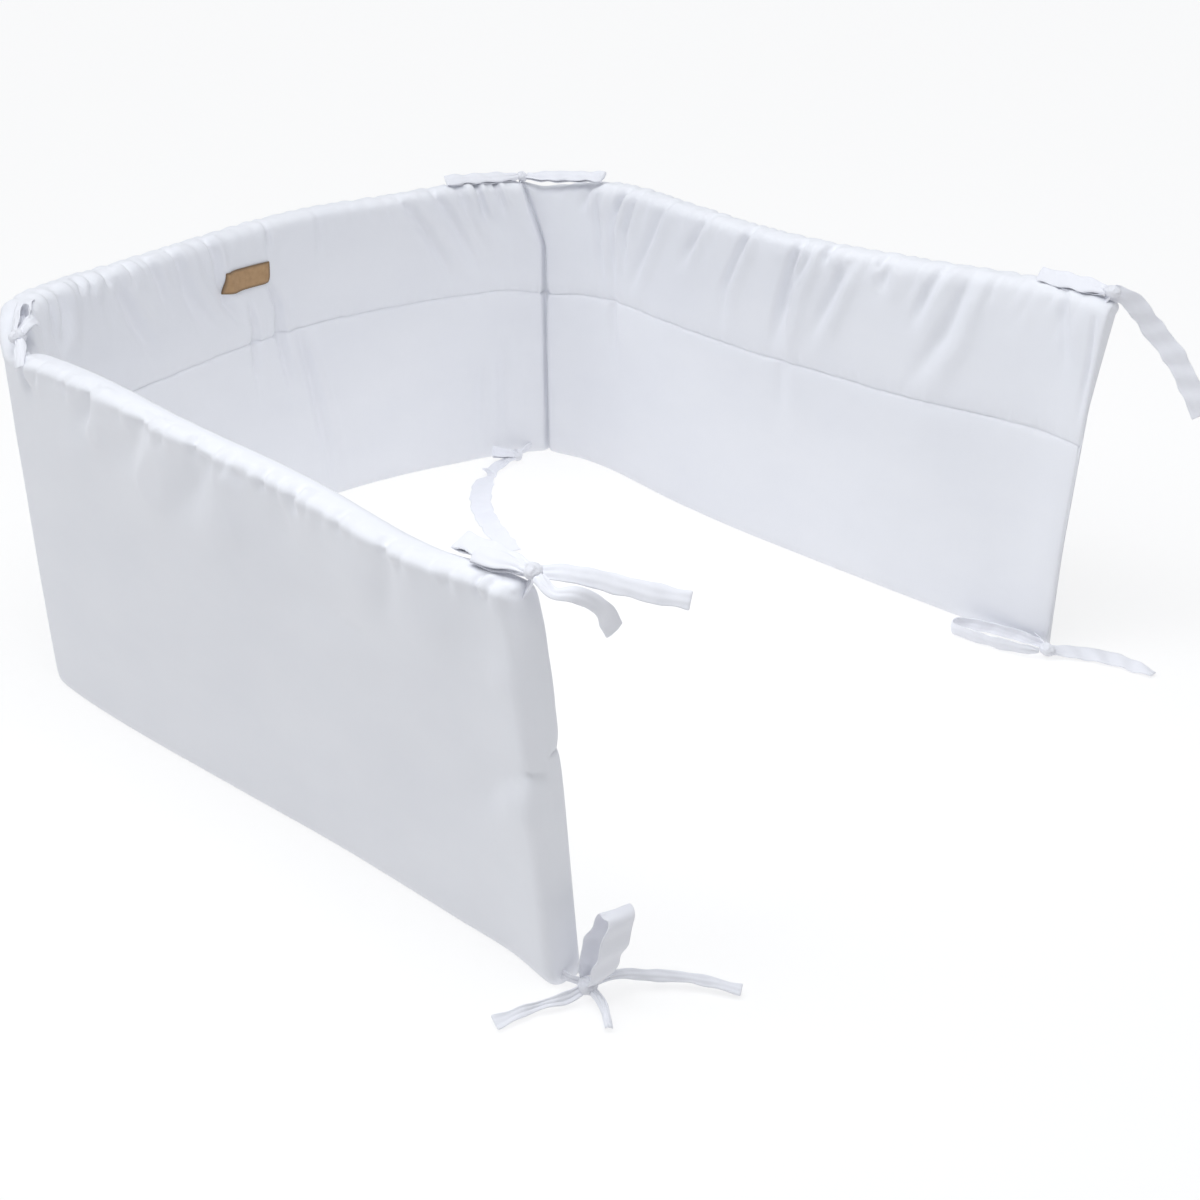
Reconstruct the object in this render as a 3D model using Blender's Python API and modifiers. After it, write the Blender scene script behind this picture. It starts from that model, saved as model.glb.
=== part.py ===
"""Crib bumper: three padded cotton panels standing on their long edge in a U.

The tables are in millimetres and the scene in metres, +Z up. In plan the back panel
runs along +X, and the left and right panels run from its ends towards -Y. The pad is
one filled solid: a long box of faces, bent along the U and given its crown, its sewn
seam, its hinges and its creases. Eight tape bows are tied at its corners, and a bare
patch is sewn to the cot side of the back panel.
"""
from math import ceil, copysign, cos, exp, pi, radians, sin, sqrt

import bmesh
import bpy
from mathutils import Vector
from mathutils.bvhtree import BVHTree

MM = 0.001
ORIGIN = (298.13, -286.73)    # middle of the whole footprint in the tables' plan
UP = Vector((0.0, 0.0, 1.0))

COTTON = ((0.90, 0.91, 0.93), 0.85)
TAPE_COTTON = ((0.88, 0.89, 0.92), 0.85)
HIDE = ((0.38, 0.24, 0.12), 0.70)

# ---------------------------------------------------------------- pad sizes
THICK = 28.0                  # slab with its cover
STATION_STEP = 13.0           # spacing of the upright sections along the pad
END_STATIONS = (0.0, 0.9, 2.6, 5.6, 10.0)
HINGE_STATIONS = (-20.0, -12.0, -7.0, -3.5, 0.0, 3.5, 8.0, 14.0, 21.0, 29.0)
TURN_REACH = 12.0             # how far from a hinge the cover starts to turn
SEAM_AT = 0.625               # pieced seam, as a share of the height

END_ROUND = 10.0              # rounding of the two ends, along the pad
END_TOP_DROP = 4.0
END_FOOT_RISE = 2.0
END_NARROW = 0.16             # how much thinner the slab is at its end face
FRONT_LEAN = 21.0             # the top of the front end is gathered back this far
FRONT_LEAN_OVER = 90.0

SLIT_DEPTH, SLIT_HALF = 10.0, 4.0      # crevice between two slabs
LIP_DEPTH, LIP_HALF = 4.0, 13.0        # and the soft turn of the cover into it
WEDGE_FROM = 228.0            # above this height the crevice opens to a wedge
WEDGE_TO = 290.0
WEDGE_PULL = 20.0             # the tie pulls the crevice back this far at the top
WEDGE_PULL_OVER = 70.0
WEDGE_WIDE = 26.0
WEDGE_DEPTH = 11.0
FOLD_LIMIT = 9.0              # deepest that crossing creases go

# Path of the cot-side foot from the front end to the right end, a row a section:
# place in plan, how far the seam and the top stand outward of the foot, height.
LEFT_PANEL = [
    # x,    y, seam, top, height
    (16, -586, 11, 10, 287),
    (23, -540, 13, 18, 289),
    (23, -487, 12, 24, 289),
    (23, -369, 12, 18, 295),
    (18, -241, 9, 13, 299),
    (14, -121, 4, 3, 301),
    (14, -65, 1, 1, 298),
    (16, -28, -2, -3, 292),
]
BACK_PANEL = [
    (16, -28, -2, -3, 292),
    (52, 14, 3, 6, 307),
    (98, 42, 7, 3, 305),
    (156, 64, 8, 2, 298),
    (243, 82, 8, 1, 294),
    (331, 92, 8, 2, 292),
    (389, 86, 8, 2, 293),
    (461, 69, 7, -3, 293),
    (530, 43, 5, 0, 294),
    (582, 19, 3, 0, 292),
    (606, -2, -2, 0, 285),
]
RIGHT_PANEL = [
    (606, -2, -2, 0, 285),
    (615, -40, 1, 4, 294),
    (615, -79, 1, 4, 300),
    (600, -177, 0, 2, 302),
    (591, -267, 0, -3, 302),
    (588, -341, 1, -3, 303),
    (585, -456, 3, 15, 304),
    (584, -530, 13, 28, 305),
    (584, -575, 16, 28, 305),
    (586, -611, 12, 23, 304),
]

# Upright section, foot to top: share of the height, then the half widths outside and
# on the cot side as shares of half the thickness. The seam's row is drawn in.
PROFILE = [
    # height, outside, cot side
    (0.000, 0.66, 0.66),
    (0.009, 0.86, 0.86),
    (0.028, 0.96, 0.96),
    (0.080, 1.00, 1.00),
    (0.210, 1.04, 1.04),
    (0.350, 1.06, 1.06),
    (0.490, 1.05, 1.04),
    (0.595, 1.04, 0.99),
    (0.625, 1.03, 0.80),
    (0.655, 1.03, 0.99),
    (0.770, 1.03, 1.04),
    (0.880, 1.00, 1.01),
    (0.945, 0.97, 0.97),
    (0.974, 0.90, 0.90),
    (0.991, 0.74, 0.74),
    (1.000, 0.46, 0.46),
]

# Creases, a row each: distance along the pad and height at both ends, half width, depth.
COT_SIDE_CREASES = [
    # along, up, along, up, half, depth
    (652, 295, 632, 235, 9, 5.0),
    (700, 292, 712, 240, 9, 2.0),
    (740, 292, 762, 232, 9, 2.0),
    (772, 291, 794, 236, 9, 2.0),
    (820, 291, 838, 246, 9, 2.0),
    (916, 292, 912, 262, 8, 3.0),
    (920, 230, 924, 122, 8, 4.0),
    (872, 228, 884, 124, 8, 3.0),
    (940, 172, 953, 14, 9, 3.5),
    (1056, 292, 1068, 250, 9, 2.0),
    (1094, 290, 1132, 205, 10, 3.0),
    (1120, 290, 1146, 240, 8, 2.5),
    (1132, 90, 1130, 15, 10, 2.5),
    (1154, 80, 1152, 20, 8, 2.5),
    (1256, 295, 1248, 190, 8, 3.0),
    (1292, 297, 1288, 128, 9, 4.5),
    (1344, 299, 1304, 194, 9, 3.0),
    (1414, 299, 1380, 245, 9, 3.0),
    (1474, 299, 1446, 210, 9, 3.0),
    (1530, 299, 1494, 190, 9, 4.5),
    (1562, 299, 1516, 199, 9, 4.0),
    (1614, 299, 1600, 275, 8, 2.5),
    (1670, 299, 1638, 220, 10, 3.0),
    (1766, 299, 1782, 240, 9, 3.0),
    (1520, 184, 1516, 130, 9, 1.5),
]
OUTSIDE_CREASES = [
    (548, 290, 522, 265, 9, 4.0),
    (442, 296, 456, 262, 9, 4.0),
    (368, 299, 386, 252, 10, 3.5),
    (306, 299, 370, 215, 16, 4.0),
    (262, 299, 270, 255, 12, 2.5),
    (200, 299, 190, 262, 12, 2.0),
    (4, 172, 80, 112, 11, 4.0),
]

# ---------------------------------------------------------------- tie sizes
TAPE_THICK = 1.8
GATHER_OVER = 24.0            # a tape opens out from its knot over this length
GATHER = 0.42                 # share of its width left at the knot
LOOP_STEPS = 14
LOOP_START = 0.080            # a loop's two legs leave the knot this far round it
WAIST = 0.13                  # how much the knot is drawn in at its middle
ROOT_STEPS = 3
ROOT_CLEAR = 0.5              # a root stops this far short of the pad

# A row a knot: middle, then half sizes.
KNOTS = {
    "tie_front_top": (-2, -565, 296.5, 8, 7, 6.0),
    "tie_front_bottom": (1, -602, 9, 9, 8, 7),
    "tie_left_top": (1, -31, 306, 9, 7, 7),
    "tie_left_bottom": (44, -52, 9, 8, 8, 7),
    "tie_back_top": (604, 24, 297, 7, 7, 5.5),
    "tie_back_bottom": (566, 4, 9, 8, 7, 7),
    "tie_right_top": (624, -605, 311.5, 7, 8, 5.5),
    "tie_right_bottom": (575, -618, 8, 7, 8, 6.5),
}

# A row a loop: its tip, the direction of the tape's width, width, half opening.
LOOPS = [
    # tie,                 x,    y,   z,    wx,    wy,   wz, width, open
    ("tie_front_top", 3, -494, 294.5, 1.0, 0.0, 0.05, 19, 2.6),
    ("tie_front_top", -7, -520, 295, 0.9, 0.0, 0.3, 16, 2.6),
    ("tie_front_bottom", 14, -616, 70, 0.66, -0.75, 0.0, 21, 6.0),
    ("tie_left_top", 39, 17, 313, 0.7, -0.7, 0.1, 14, 2.5),
    ("tie_left_top", 21, -10, 318, 0.4, -0.4, 0.8, 14, 4.0),
    ("tie_left_bottom", 84, -46, 9, 0.1, 0.2, 1.0, 14, 7.0),
    ("tie_back_top", 530, 57, 301.5, 0.3, 1.0, 0.1, 12, 2.2),
    ("tie_back_top", 632, -60, 305.5, 1.0, 0.0, 0.1, 12, 2.2),
    ("tie_back_bottom", 548, 12, 27, 0.7, -0.7, 0.2, 14, 4.0),
    ("tie_right_top", 627, -538, 310.5, 1.0, 0.0, 0.05, 16, 2.2),
    ("tie_right_bottom", 561, -535, 7, 0.0, 0.0, 1.0, 11, 11.0),
]

# Free ends, a row a point after the knot: place, direction of the width, width.
ENDS = [
    ("tie_front_top", [
        (9, -583, 299, 0.9, 0.4, 0.0, 12),
        (24, -606, 292, 0.9, 0.4, 0.0, 20),
        (33, -626, 290, 0.9, 0.4, 0.1, 20),
        (41, -645, 289, 0.9, 0.4, 0.1, 20),
    ]),
    ("tie_front_top", [
        (-9, -586, 298, 0.9, 0.0, 0.2, 11),
        (-5, -597, 288, 0.9, -0.2, 0.4, 15),
        (11, -600, 276, 0.7, -0.2, 0.7, 20),
        (25, -600, 256, 0.8, -0.2, 0.5, 20),
    ]),
    ("tie_front_bottom", [
        (17, -613, 14, 0.5, 0.5, 0.6, 10),
        (32, -624, 9, 0.4, 0.4, 0.8, 11),
        (51, -647, 7, 0.6, 0.5, 0.6, 12),
        (66, -676, 5, 0.8, 0.5, 0.3, 15),
    ]),
    ("tie_front_bottom", [
        (-12, -600, 8, 0.3, 0.6, 0.7, 9),
        (-33, -588, 6, 0.4, 0.8, 0.5, 11),
        (-59, -577, 4, 0.3, 0.9, 0.1, 15),
    ]),
    ("tie_front_bottom", [
        (-3, -618, 6, 1.0, 0.0, 0.3, 8),
        (-15, -634, 3.5, 1.0, -0.4, 0.1, 10),
    ]),
    ("tie_left_top", [
        (-4, -42, 304, 0.9, 0.1, 0.2, 10),
        (-12, -53, 301, 0.9, 0.1, 0.4, 13),
        (-20, -62, 293, 0.6, 0.1, 0.8, 14),
    ]),
    ("tie_left_top", [
        (11, -30, 312, 0.3, 0.9, 0.1, 10),
        (23, -21, 311, 0.5, 0.8, 0.2, 13),
    ]),
    ("tie_left_bottom", [
        (52, -72, 5, 1.0, 0.2, 0.1, 14),
        (60, -104, 3, 1.0, 0.3, 0.0, 20),
        (64, -140, 2, 1.0, 0.1, 0.0, 20),
    ]),
    ("tie_left_bottom", [
        (64, -62, 5, 0.4, 1.0, 0.1, 14),
        (92, -76, 3, 0.4, 1.0, 0.0, 20),
        (122, -84, 2, 0.2, 1.0, 0.0, 20),
    ]),
    ("tie_back_bottom", [
        (545, 5, 7, 0.1, 1.0, 0.3, 10),
        (526, 3, 5, 0.3, 0.9, 0.2, 15),
        (503, -9, 4, 0.6, -0.8, 0.1, 21),
        (459, -49, 3, 0.7, -0.7, 0.0, 22),
        (410, -138, 2, 0.9, -0.4, 0.0, 22),
    ]),
    ("tie_right_top", [
        (634, -616, 307, 0.8, 0.4, -0.3, 10),
        (647, -634, 281, 0.0, 0.8, -0.5, 15),
        (652, -656, 258, -0.4, 0.7, -0.5, 17),
        (654, -683, 217, -0.4, 0.7, -0.4, 15),
    ]),
    ("tie_right_bottom", [
        (590, -634, 5, 0.9, 0.3, 0.3, 14),
        (604, -660, 3.5, 0.9, 0.4, 0.1, 24),
        (606, -680, 3.5, 0.9, 0.2, 0.2, 15),
        (605, -702, 3, 0.9, 0.1, 0.1, 9),
    ]),
]

# Where each tie is sewn on: a short strip runs from its knot to this spot on the pad.
ROOTS = {
    # tie: x, y, z, width
    "tie_front_top": (-6, -558, 276, 8),
    "tie_front_bottom": (-4, -580, 10, 7),
    "tie_left_top": (6, -28, 284, 9),
    "tie_left_bottom": (17, -46, 10, 7),
    "tie_back_top": (598, 26, 283, 6),
    "tie_back_bottom": (594, 10, 10, 7),
    "tie_right_top": (620, -596, 292, 8),
    "tie_right_bottom": (588, -598, 9, 7),
}

# ---------------------------------------------------------------- bare patch
PATCH_AT = (883.0, 248.0)     # along the pad, height
PATCH_SIZE = (56.0, 21.5)
PATCH_TILT = radians(-3.0)
PATCH_THICK = 1.3
PATCH_GAP = 1.15
PATCH_GRID = (12, 5)


# ---------------------------------------------------------------- curves
def hermite(rows, knots, at):
    """Every column of rows at the distance `at` along a smooth curve through them."""
    last = len(rows) - 1
    i = 0
    while i < last - 1 and knots[i + 1] < at:
        i += 1
    span = knots[i + 1] - knots[i]
    t = (at - knots[i]) / span
    if t < 0.0 or t > 1.0:
        return [a + (b - a) * t for a, b in zip(rows[i], rows[i + 1])]
    values = []
    for column, (a, b) in enumerate(zip(rows[i], rows[i + 1])):
        here = (b - a) / span
        before = after = here
        if i > 0:
            before = (a - rows[i - 1][column]) / (knots[i] - knots[i - 1])
        if i + 1 < last:
            after = (rows[i + 2][column] - b) / (knots[i + 2] - knots[i + 1])
        start = 0.5 * (here + before) * span
        end = 0.5 * (here + after) * span
        ease = t * t * (3.0 - 2.0 * t)
        bow = t * (1.0 - t) * (start * (1.0 - t) - end * t)
        values.append(a + (b - a) * ease + bow)
    return values


def running_lengths(rows, dimensions):
    """Distance of every row from the first, over its first two or three columns."""
    lengths = [0.0]
    for a, b in zip(rows, rows[1:]):
        step = Vector(b[:dimensions]) - Vector(a[:dimensions])
        lengths.append(lengths[-1] + step.length)
    return lengths


PANELS = [(rows, running_lengths(rows, 2)) for rows in (LEFT_PANEL, BACK_PANEL, RIGHT_PANEL)]
LEFT_HINGE = PANELS[0][1][-1]
BACK_HINGE = LEFT_HINGE + PANELS[1][1][-1]
LENGTH = BACK_HINGE + PANELS[2][1][-1]


# ---------------------------------------------------------------- pad
def section(s):
    """Plan place, seam and top offsets and height at the distance s along the pad."""
    if s < LEFT_HINGE:
        return hermite(*PANELS[0], s)
    if s < BACK_HINGE:
        return hermite(*PANELS[1], s - LEFT_HINGE)
    return hermite(*PANELS[2], s - BACK_HINGE)


def outward(s):
    """Unit plan vector from the cot side to the outside."""
    a = section(s - TURN_REACH)
    b = section(s + TURN_REACH)
    run = sqrt((b[0] - a[0]) ** 2 + (b[1] - a[1]) ** 2)
    return -(b[1] - a[1]) / run, (b[0] - a[0]) / run


def crease_depth(s, z, row):
    """Depth at (s, z) of a rounded trough that runs out at both ends."""
    s0, z0, s1, z1, half, depth = row
    ds = s1 - s0
    dz = z1 - z0
    t = ((s - s0) * ds + (z - z0) * dz) / (ds * ds + dz * dz)
    t = min(1.0, max(0.0, t))
    off = (s - s0 - t * ds) ** 2 + (z - z0 - t * dz) ** 2
    run_out = 0.4 + 0.6 * sin(pi * (0.15 + 0.7 * t))
    return depth * run_out * exp(-off / (half * half))


def from_hinge(s):
    """Distance past the nearer of the two hinges."""
    return s - (LEFT_HINGE if s < 0.5 * (LEFT_HINGE + BACK_HINGE) else BACK_HINGE)


def wedge_share(z):
    """0 below the wedge at a hinge, 1 at the top."""
    return min(1.0, max(0.0, (z - WEDGE_FROM) / (WEDGE_TO - WEDGE_FROM)))


def hinge_depth(s, z):
    """Crevice on the cot side where two slabs meet, and near the top the wedge where
    the end of the next slab turns away from it."""
    d = from_hinge(s)
    depth = SLIT_DEPTH * exp(-(d / SLIT_HALF) ** 2) + LIP_DEPTH * exp(-(d / LIP_HALF) ** 2)
    if d >= 0.0:
        depth += WEDGE_DEPTH * wedge_share(z) * max(0.0, 1.0 - d / WEDGE_WIDE)
    return depth


def gather_shift(s, height, z):
    """How far the ties pull the cloth along the pad near its top."""
    lean = FRONT_LEAN * height ** 3 * max(0.0, 1.0 - s / FRONT_LEAN_OVER)
    pull = max(0.0, 1.0 - abs(from_hinge(s)) / WEDGE_PULL_OVER)
    return lean - WEDGE_PULL * wedge_share(z) * pull


def end_share(s):
    """0 at an end face, 1 once past its rounding."""
    e = min(s, LENGTH - s) / END_ROUND
    return 1.0 if e >= 1.0 else sqrt(max(0.0, 1.0 - (1.0 - e) ** 2))


def lean_out(height, seam_out, top_out):
    """Offset at a share of the height: a parabola through foot, seam and top."""
    bend = (top_out - seam_out / SEAM_AT) / (1.0 - SEAM_AT)
    return height * (seam_out / SEAM_AT + bend * (height - SEAM_AT))


def place(s, height, side, half):
    """Point of the pad: side -1 is the cot side and +1 the outside."""
    at = s + gather_shift(s, height, height * section(s)[4])
    x, y, seam_out, top_out, top = section(at)
    nx, ny = outward(at)
    full = end_share(s)
    foot = END_FOOT_RISE * (1.0 - full) * (1.0 - height) ** 4
    z = height * (top - END_TOP_DROP * (1.0 - full)) + foot
    reach = 0.5 * THICK * half * (1.0 - END_NARROW * (1.0 - full))
    creases = COT_SIDE_CREASES if side < 0 else OUTSIDE_CREASES
    sunk = min(FOLD_LIMIT, sum(crease_depth(at, z, row) for row in creases))
    if side < 0:
        sunk += hinge_depth(s, z)
    reach -= sunk * min(1.0, half)
    off = 0.5 * THICK + lean_out(height, seam_out, top_out) + side * reach
    return Vector((x + nx * off - ORIGIN[0], y + ny * off - ORIGIN[1], z)) * MM


def stations():
    """Distances of the sections, closer at the ends and at the two hinges."""
    fixed = list(END_STATIONS) + [LENGTH - d for d in END_STATIONS]
    for hinge in (LEFT_HINGE, BACK_HINGE):
        fixed += [hinge + d for d in HINGE_STATIONS]
    fixed.sort()
    spots = []
    for a, b in zip(fixed, fixed[1:]):
        steps = max(1, ceil((b - a) / STATION_STEP))
        spots += [a + (b - a) * k / steps for k in range(steps)]
    return spots + [fixed[-1]]


def split_along(bm, axis, pieces):
    """Cut every edge that runs along an axis into equal pieces."""
    edges = [e for e in bm.edges if abs(e.verts[0].co[axis] - e.verts[1].co[axis]) > 0.5]
    bmesh.ops.subdivide_edges(bm, edges=edges, cuts=pieces - 1, use_grid_fill=True)


def pad_mesh():
    """A box of faces, each corner of which goes to its place on the bumper."""
    spots = stations()
    bm = bmesh.new()
    bmesh.ops.create_cube(bm, size=1.0)
    split_along(bm, 0, len(spots) - 1)
    split_along(bm, 2, len(PROFILE) - 1)
    for vert in bm.verts:
        s = spots[round((vert.co.x + 0.5) * (len(spots) - 1))]
        height, outside, cot_side = PROFILE[round((vert.co.z + 0.5) * (len(PROFILE) - 1))]
        if vert.co.y > 0.0:
            vert.co = place(s, height, 1, outside)
        else:
            vert.co = place(s, height, -1, cot_side)
    return bm


# ---------------------------------------------------------------- ties
def to_scene(point):
    return (Vector(point) - Vector((*ORIGIN, 0.0))) * MM


def gathered(width, run):
    """Width of a tape at the distance `run` from its knot."""
    return width * (GATHER + (1.0 - GATHER) * min(1.0, run / GATHER_OVER))


def loop_rows(knot, tip, wide, width, half_open):
    """Teardrop from the knot to the tip and back, opened across its own flat."""
    root = Vector(knot)
    wide = Vector(wide).normalized()
    reach = Vector(tip) - root
    across = reach.cross(wide).normalized()
    rows = []
    for k in range(LOOP_STEPS + 1):
        u = LOOP_START + (1.0 - 2.0 * LOOP_START) * k / LOOP_STEPS
        share = 0.5 - 0.5 * cos(2.0 * pi * u)
        bow = copysign(abs(sin(2.0 * pi * u)) ** (1.0 - 0.5 * share), 0.5 - u)
        spot = root + reach * share + across * (half_open * bow)
        rows.append((*spot, *wide, gathered(width, share * reach.length)))
    return rows


def end_rows(knot, rows):
    """Free end: a smooth run from the knot through its rows."""
    start = (*knot, *rows[0][3:6], rows[0][6] * 0.8)
    through = [start] + rows
    lengths = running_lengths(through, 3)
    steps = 3 * len(rows) + 1
    return [hermite(through, lengths, lengths[-1] * k / steps) for k in range(steps + 1)]


def root_rows(knot, target, tree):
    """Straight strip from the knot to the pad, where it stops just clear of the cloth."""
    x, y, z, width = target
    ray = (Vector((x, y, z)) - Vector(knot)).normalized()
    wide = UP if abs(ray.z) < 0.7 else Vector((0.7, 0.7, 0.0))
    wide = (wide - ray * wide.dot(ray)).normalized()
    face = ray.cross(wide)
    runs = []
    for a in (-0.5, 0.0, 0.5):
        for b in (-0.5, 0.5):
            corner = Vector(knot) + wide * (width * a) + face * (TAPE_THICK * b)
            runs.append(tree.ray_cast(to_scene(corner), ray)[3] / MM)
    run = min(runs) - ROOT_CLEAR
    return [(*(Vector(knot) + ray * (run * k / ROOT_STEPS)), *wide, width)
            for k in range(ROOT_STEPS + 1)]


def tape_mesh(rows):
    """Flat strip through rows of place, direction of the width and width."""
    bm = bmesh.new()
    steps = len(rows) - 1
    bmesh.ops.create_grid(bm, x_segments=steps, y_segments=1, size=0.5)
    for vert in bm.verts:
        i = round((vert.co.x + 0.5) * steps)
        here = Vector(rows[i][:3])
        ahead = Vector(rows[min(i + 1, steps)][:3])
        behind = Vector(rows[max(i - 1, 0)][:3])
        along = (ahead - behind).normalized()
        wide = Vector(rows[i][3:6])
        wide = (wide - along * wide.dot(along)).normalized()
        vert.co = to_scene(here + wide * (rows[i][6] * vert.co.y))
    return bm


def knot_mesh(row):
    """Rounded lump, drawn in at its middle by the tape around it."""
    x, y, z, half_x, half_y, half_z = row
    bm = bmesh.new()
    bmesh.ops.create_uvsphere(bm, u_segments=12, v_segments=8, radius=1.0)
    for vert in bm.verts:
        waist = 1.0 - WAIST * exp(-(vert.co.x / 0.28) ** 2)
        offset = Vector((vert.co.x * half_x, vert.co.y * half_y * waist,
                         vert.co.z * half_z * waist))
        vert.co = to_scene(Vector((x, y, z)) + offset)
    return bm


def tie_strips(name, tree):
    """Rows of each strip that leaves a tie's knot: loops, free ends, root."""
    knot = KNOTS[name][:3]
    strips = [loop_rows(knot, row[1:4], row[4:7], *row[7:]) for row in LOOPS if row[0] == name]
    strips += [end_rows(knot, rows) for owner, rows in ENDS if owner == name]
    strips.append(root_rows(knot, ROOTS[name], tree))
    return strips


def add_tie(name, parts, joined, tree):
    """Knot with its strips, joined into one solid."""
    body = add_object(name, knot_mesh(KNOTS[name]), TAPE_COTTON, parts)
    for i, rows in enumerate(tie_strips(name, tree)):
        strip = add_object(f"{name}_strip_{i + 1}", tape_mesh(rows), TAPE_COTTON, joined)
        strip.hide_render = True
        strip.display_type = "WIRE"
        thicken = strip.modifiers.new("thickness", "SOLIDIFY")
        thicken.thickness = TAPE_THICK * MM
        thicken.offset = 0.0
        join = body.modifiers.new(f"join_{i + 1}", "BOOLEAN")
        join.operation = "UNION"
        join.solver = "EXACT"
        join.object = strip


# ---------------------------------------------------------------- patch
def patch_point(u, v, lift, tree):
    """Point of the patch at (u, v) from its middle, `lift` off the pad's cloth."""
    s = PATCH_AT[0] + u * cos(PATCH_TILT) - v * sin(PATCH_TILT)
    z = PATCH_AT[1] + u * sin(PATCH_TILT) + v * cos(PATCH_TILT)
    middle = place(s, z / section(s)[4], 1, 0.0)
    nx, ny = outward(s)
    out = Vector((nx, ny, 0.0))
    start = middle - out * (3.0 * THICK * MM)
    hit = tree.ray_cast(start, out)[0]
    return hit - out * (lift * MM)


def patch_mesh(tree):
    """Thin box of faces laid over the cloth."""
    bm = bmesh.new()
    bmesh.ops.create_cube(bm, size=1.0)
    split_along(bm, 0, PATCH_GRID[0])
    split_along(bm, 2, PATCH_GRID[1])
    for vert in bm.verts:
        lift = PATCH_GAP if vert.co.y > 0.0 else PATCH_GAP + PATCH_THICK
        vert.co = patch_point(vert.co.x * PATCH_SIZE[0], vert.co.z * PATCH_SIZE[1], lift, tree)
    return bm


# ---------------------------------------------------------------- objects
def cloth_material(name, finish):
    colour, rough = finish
    material = bpy.data.materials.new(name)
    material.use_nodes = True
    shader = material.node_tree.nodes["Principled BSDF"]
    shader.inputs["Base Color"].default_value = (*colour, 1.0)
    shader.inputs["Roughness"].default_value = rough
    shader.inputs["Metallic"].default_value = 0.0
    material.diffuse_color = (*colour, 1.0)
    return material


def add_object(name, bm, finish, collection):
    mesh = bpy.data.meshes.new(name)
    bm.to_mesh(mesh)
    bm.free()
    mesh.shade_smooth()
    mesh.materials.append(cloth_material(name, finish))
    obj = bpy.data.objects.new(name, mesh)
    collection.objects.link(obj)
    return obj


def new_collection(name):
    collection = bpy.data.collections.new(name)
    bpy.context.scene.collection.children.link(collection)
    return collection


def clear_scene():
    for obj in list(bpy.data.objects):
        bpy.data.objects.remove(obj, do_unlink=True)


def build():
    clear_scene()
    parts = new_collection("crib_bumper")
    joined = new_collection("joined_strips")
    pad = pad_mesh()
    tree = BVHTree.FromBMesh(pad)
    add_object("label_patch", patch_mesh(tree), HIDE, parts)
    add_object("bumper_pad", pad, COTTON, parts)
    for name in KNOTS:
        add_tie(name, parts, joined, tree)


build()
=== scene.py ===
# %% [markdown]
# # A padded crib bumper
# This lesson dresses a crib bumper: three foam slabs in one white cotton cover, set down on
# its long edge in a U, with a tape bow at every corner and a bare brown patch. The CAD model
# gives the size and the place of everything. Here each piece gets its cloth, its seams and
# its wrinkles.

# %% Load the frame and keep its box
import random
from math import copysign, cos, exp, pi, radians, sin, sqrt

import bmesh
import bpy
import numpy as np
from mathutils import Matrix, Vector
from mathutils.bvhtree import BVHTree


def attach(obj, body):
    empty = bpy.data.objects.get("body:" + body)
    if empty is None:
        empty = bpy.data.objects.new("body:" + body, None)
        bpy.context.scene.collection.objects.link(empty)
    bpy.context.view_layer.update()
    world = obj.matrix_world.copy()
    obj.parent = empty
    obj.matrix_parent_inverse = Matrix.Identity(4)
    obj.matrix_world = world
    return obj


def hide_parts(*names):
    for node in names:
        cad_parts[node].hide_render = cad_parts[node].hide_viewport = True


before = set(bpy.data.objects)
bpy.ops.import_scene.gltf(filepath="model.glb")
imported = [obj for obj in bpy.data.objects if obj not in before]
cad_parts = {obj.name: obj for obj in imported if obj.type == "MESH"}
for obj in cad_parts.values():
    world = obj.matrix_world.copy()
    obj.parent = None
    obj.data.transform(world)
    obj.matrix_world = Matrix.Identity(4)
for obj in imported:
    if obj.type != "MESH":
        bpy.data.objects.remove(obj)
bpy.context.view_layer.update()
print("Nodes to dress:", len(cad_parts))

MM = 0.001
ORIGIN = (298.13, -286.73)

# %% [markdown]
# ## The camera
# The photographer stood off the front left corner and looked down at 29 degrees. A long side
# of the U and the crossing of its edges fix the lens: 50 mm on a 36 mm sensor. The camera
# comes first, because every later step is judged through it.

# %% Set up the camera
TILT = 60.9
TURN = -48.6

camera_data = bpy.data.cameras.new("camera")
camera_data.lens = 50.01
camera_data.sensor_width = 36.0
camera = bpy.data.objects.new("camera", camera_data)
camera.location = (-0.89931, -0.85652, 0.741)
camera.rotation_euler = (radians(TILT), 0.0, radians(TURN))
bpy.context.scene.collection.objects.link(camera)
bpy.context.scene.camera = camera
print("Camera looks down by", round(90 - TILT, 1), "degrees")

# %% [markdown]
# ## The path of the pad
# On the real bumper three flat slabs bend and lean as they stand. Tables of a few upright
# sections say where the foot runs in plan, how far the seam and the top lean outward, and how
# high the cloth stands. A smooth curve through the rows gives every place between them. The
# tables are in millimetres.

# %% Tables of the three panels
THICK = 28.0
SEAM_AT = 0.625
TURN_REACH = 12.0

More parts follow.
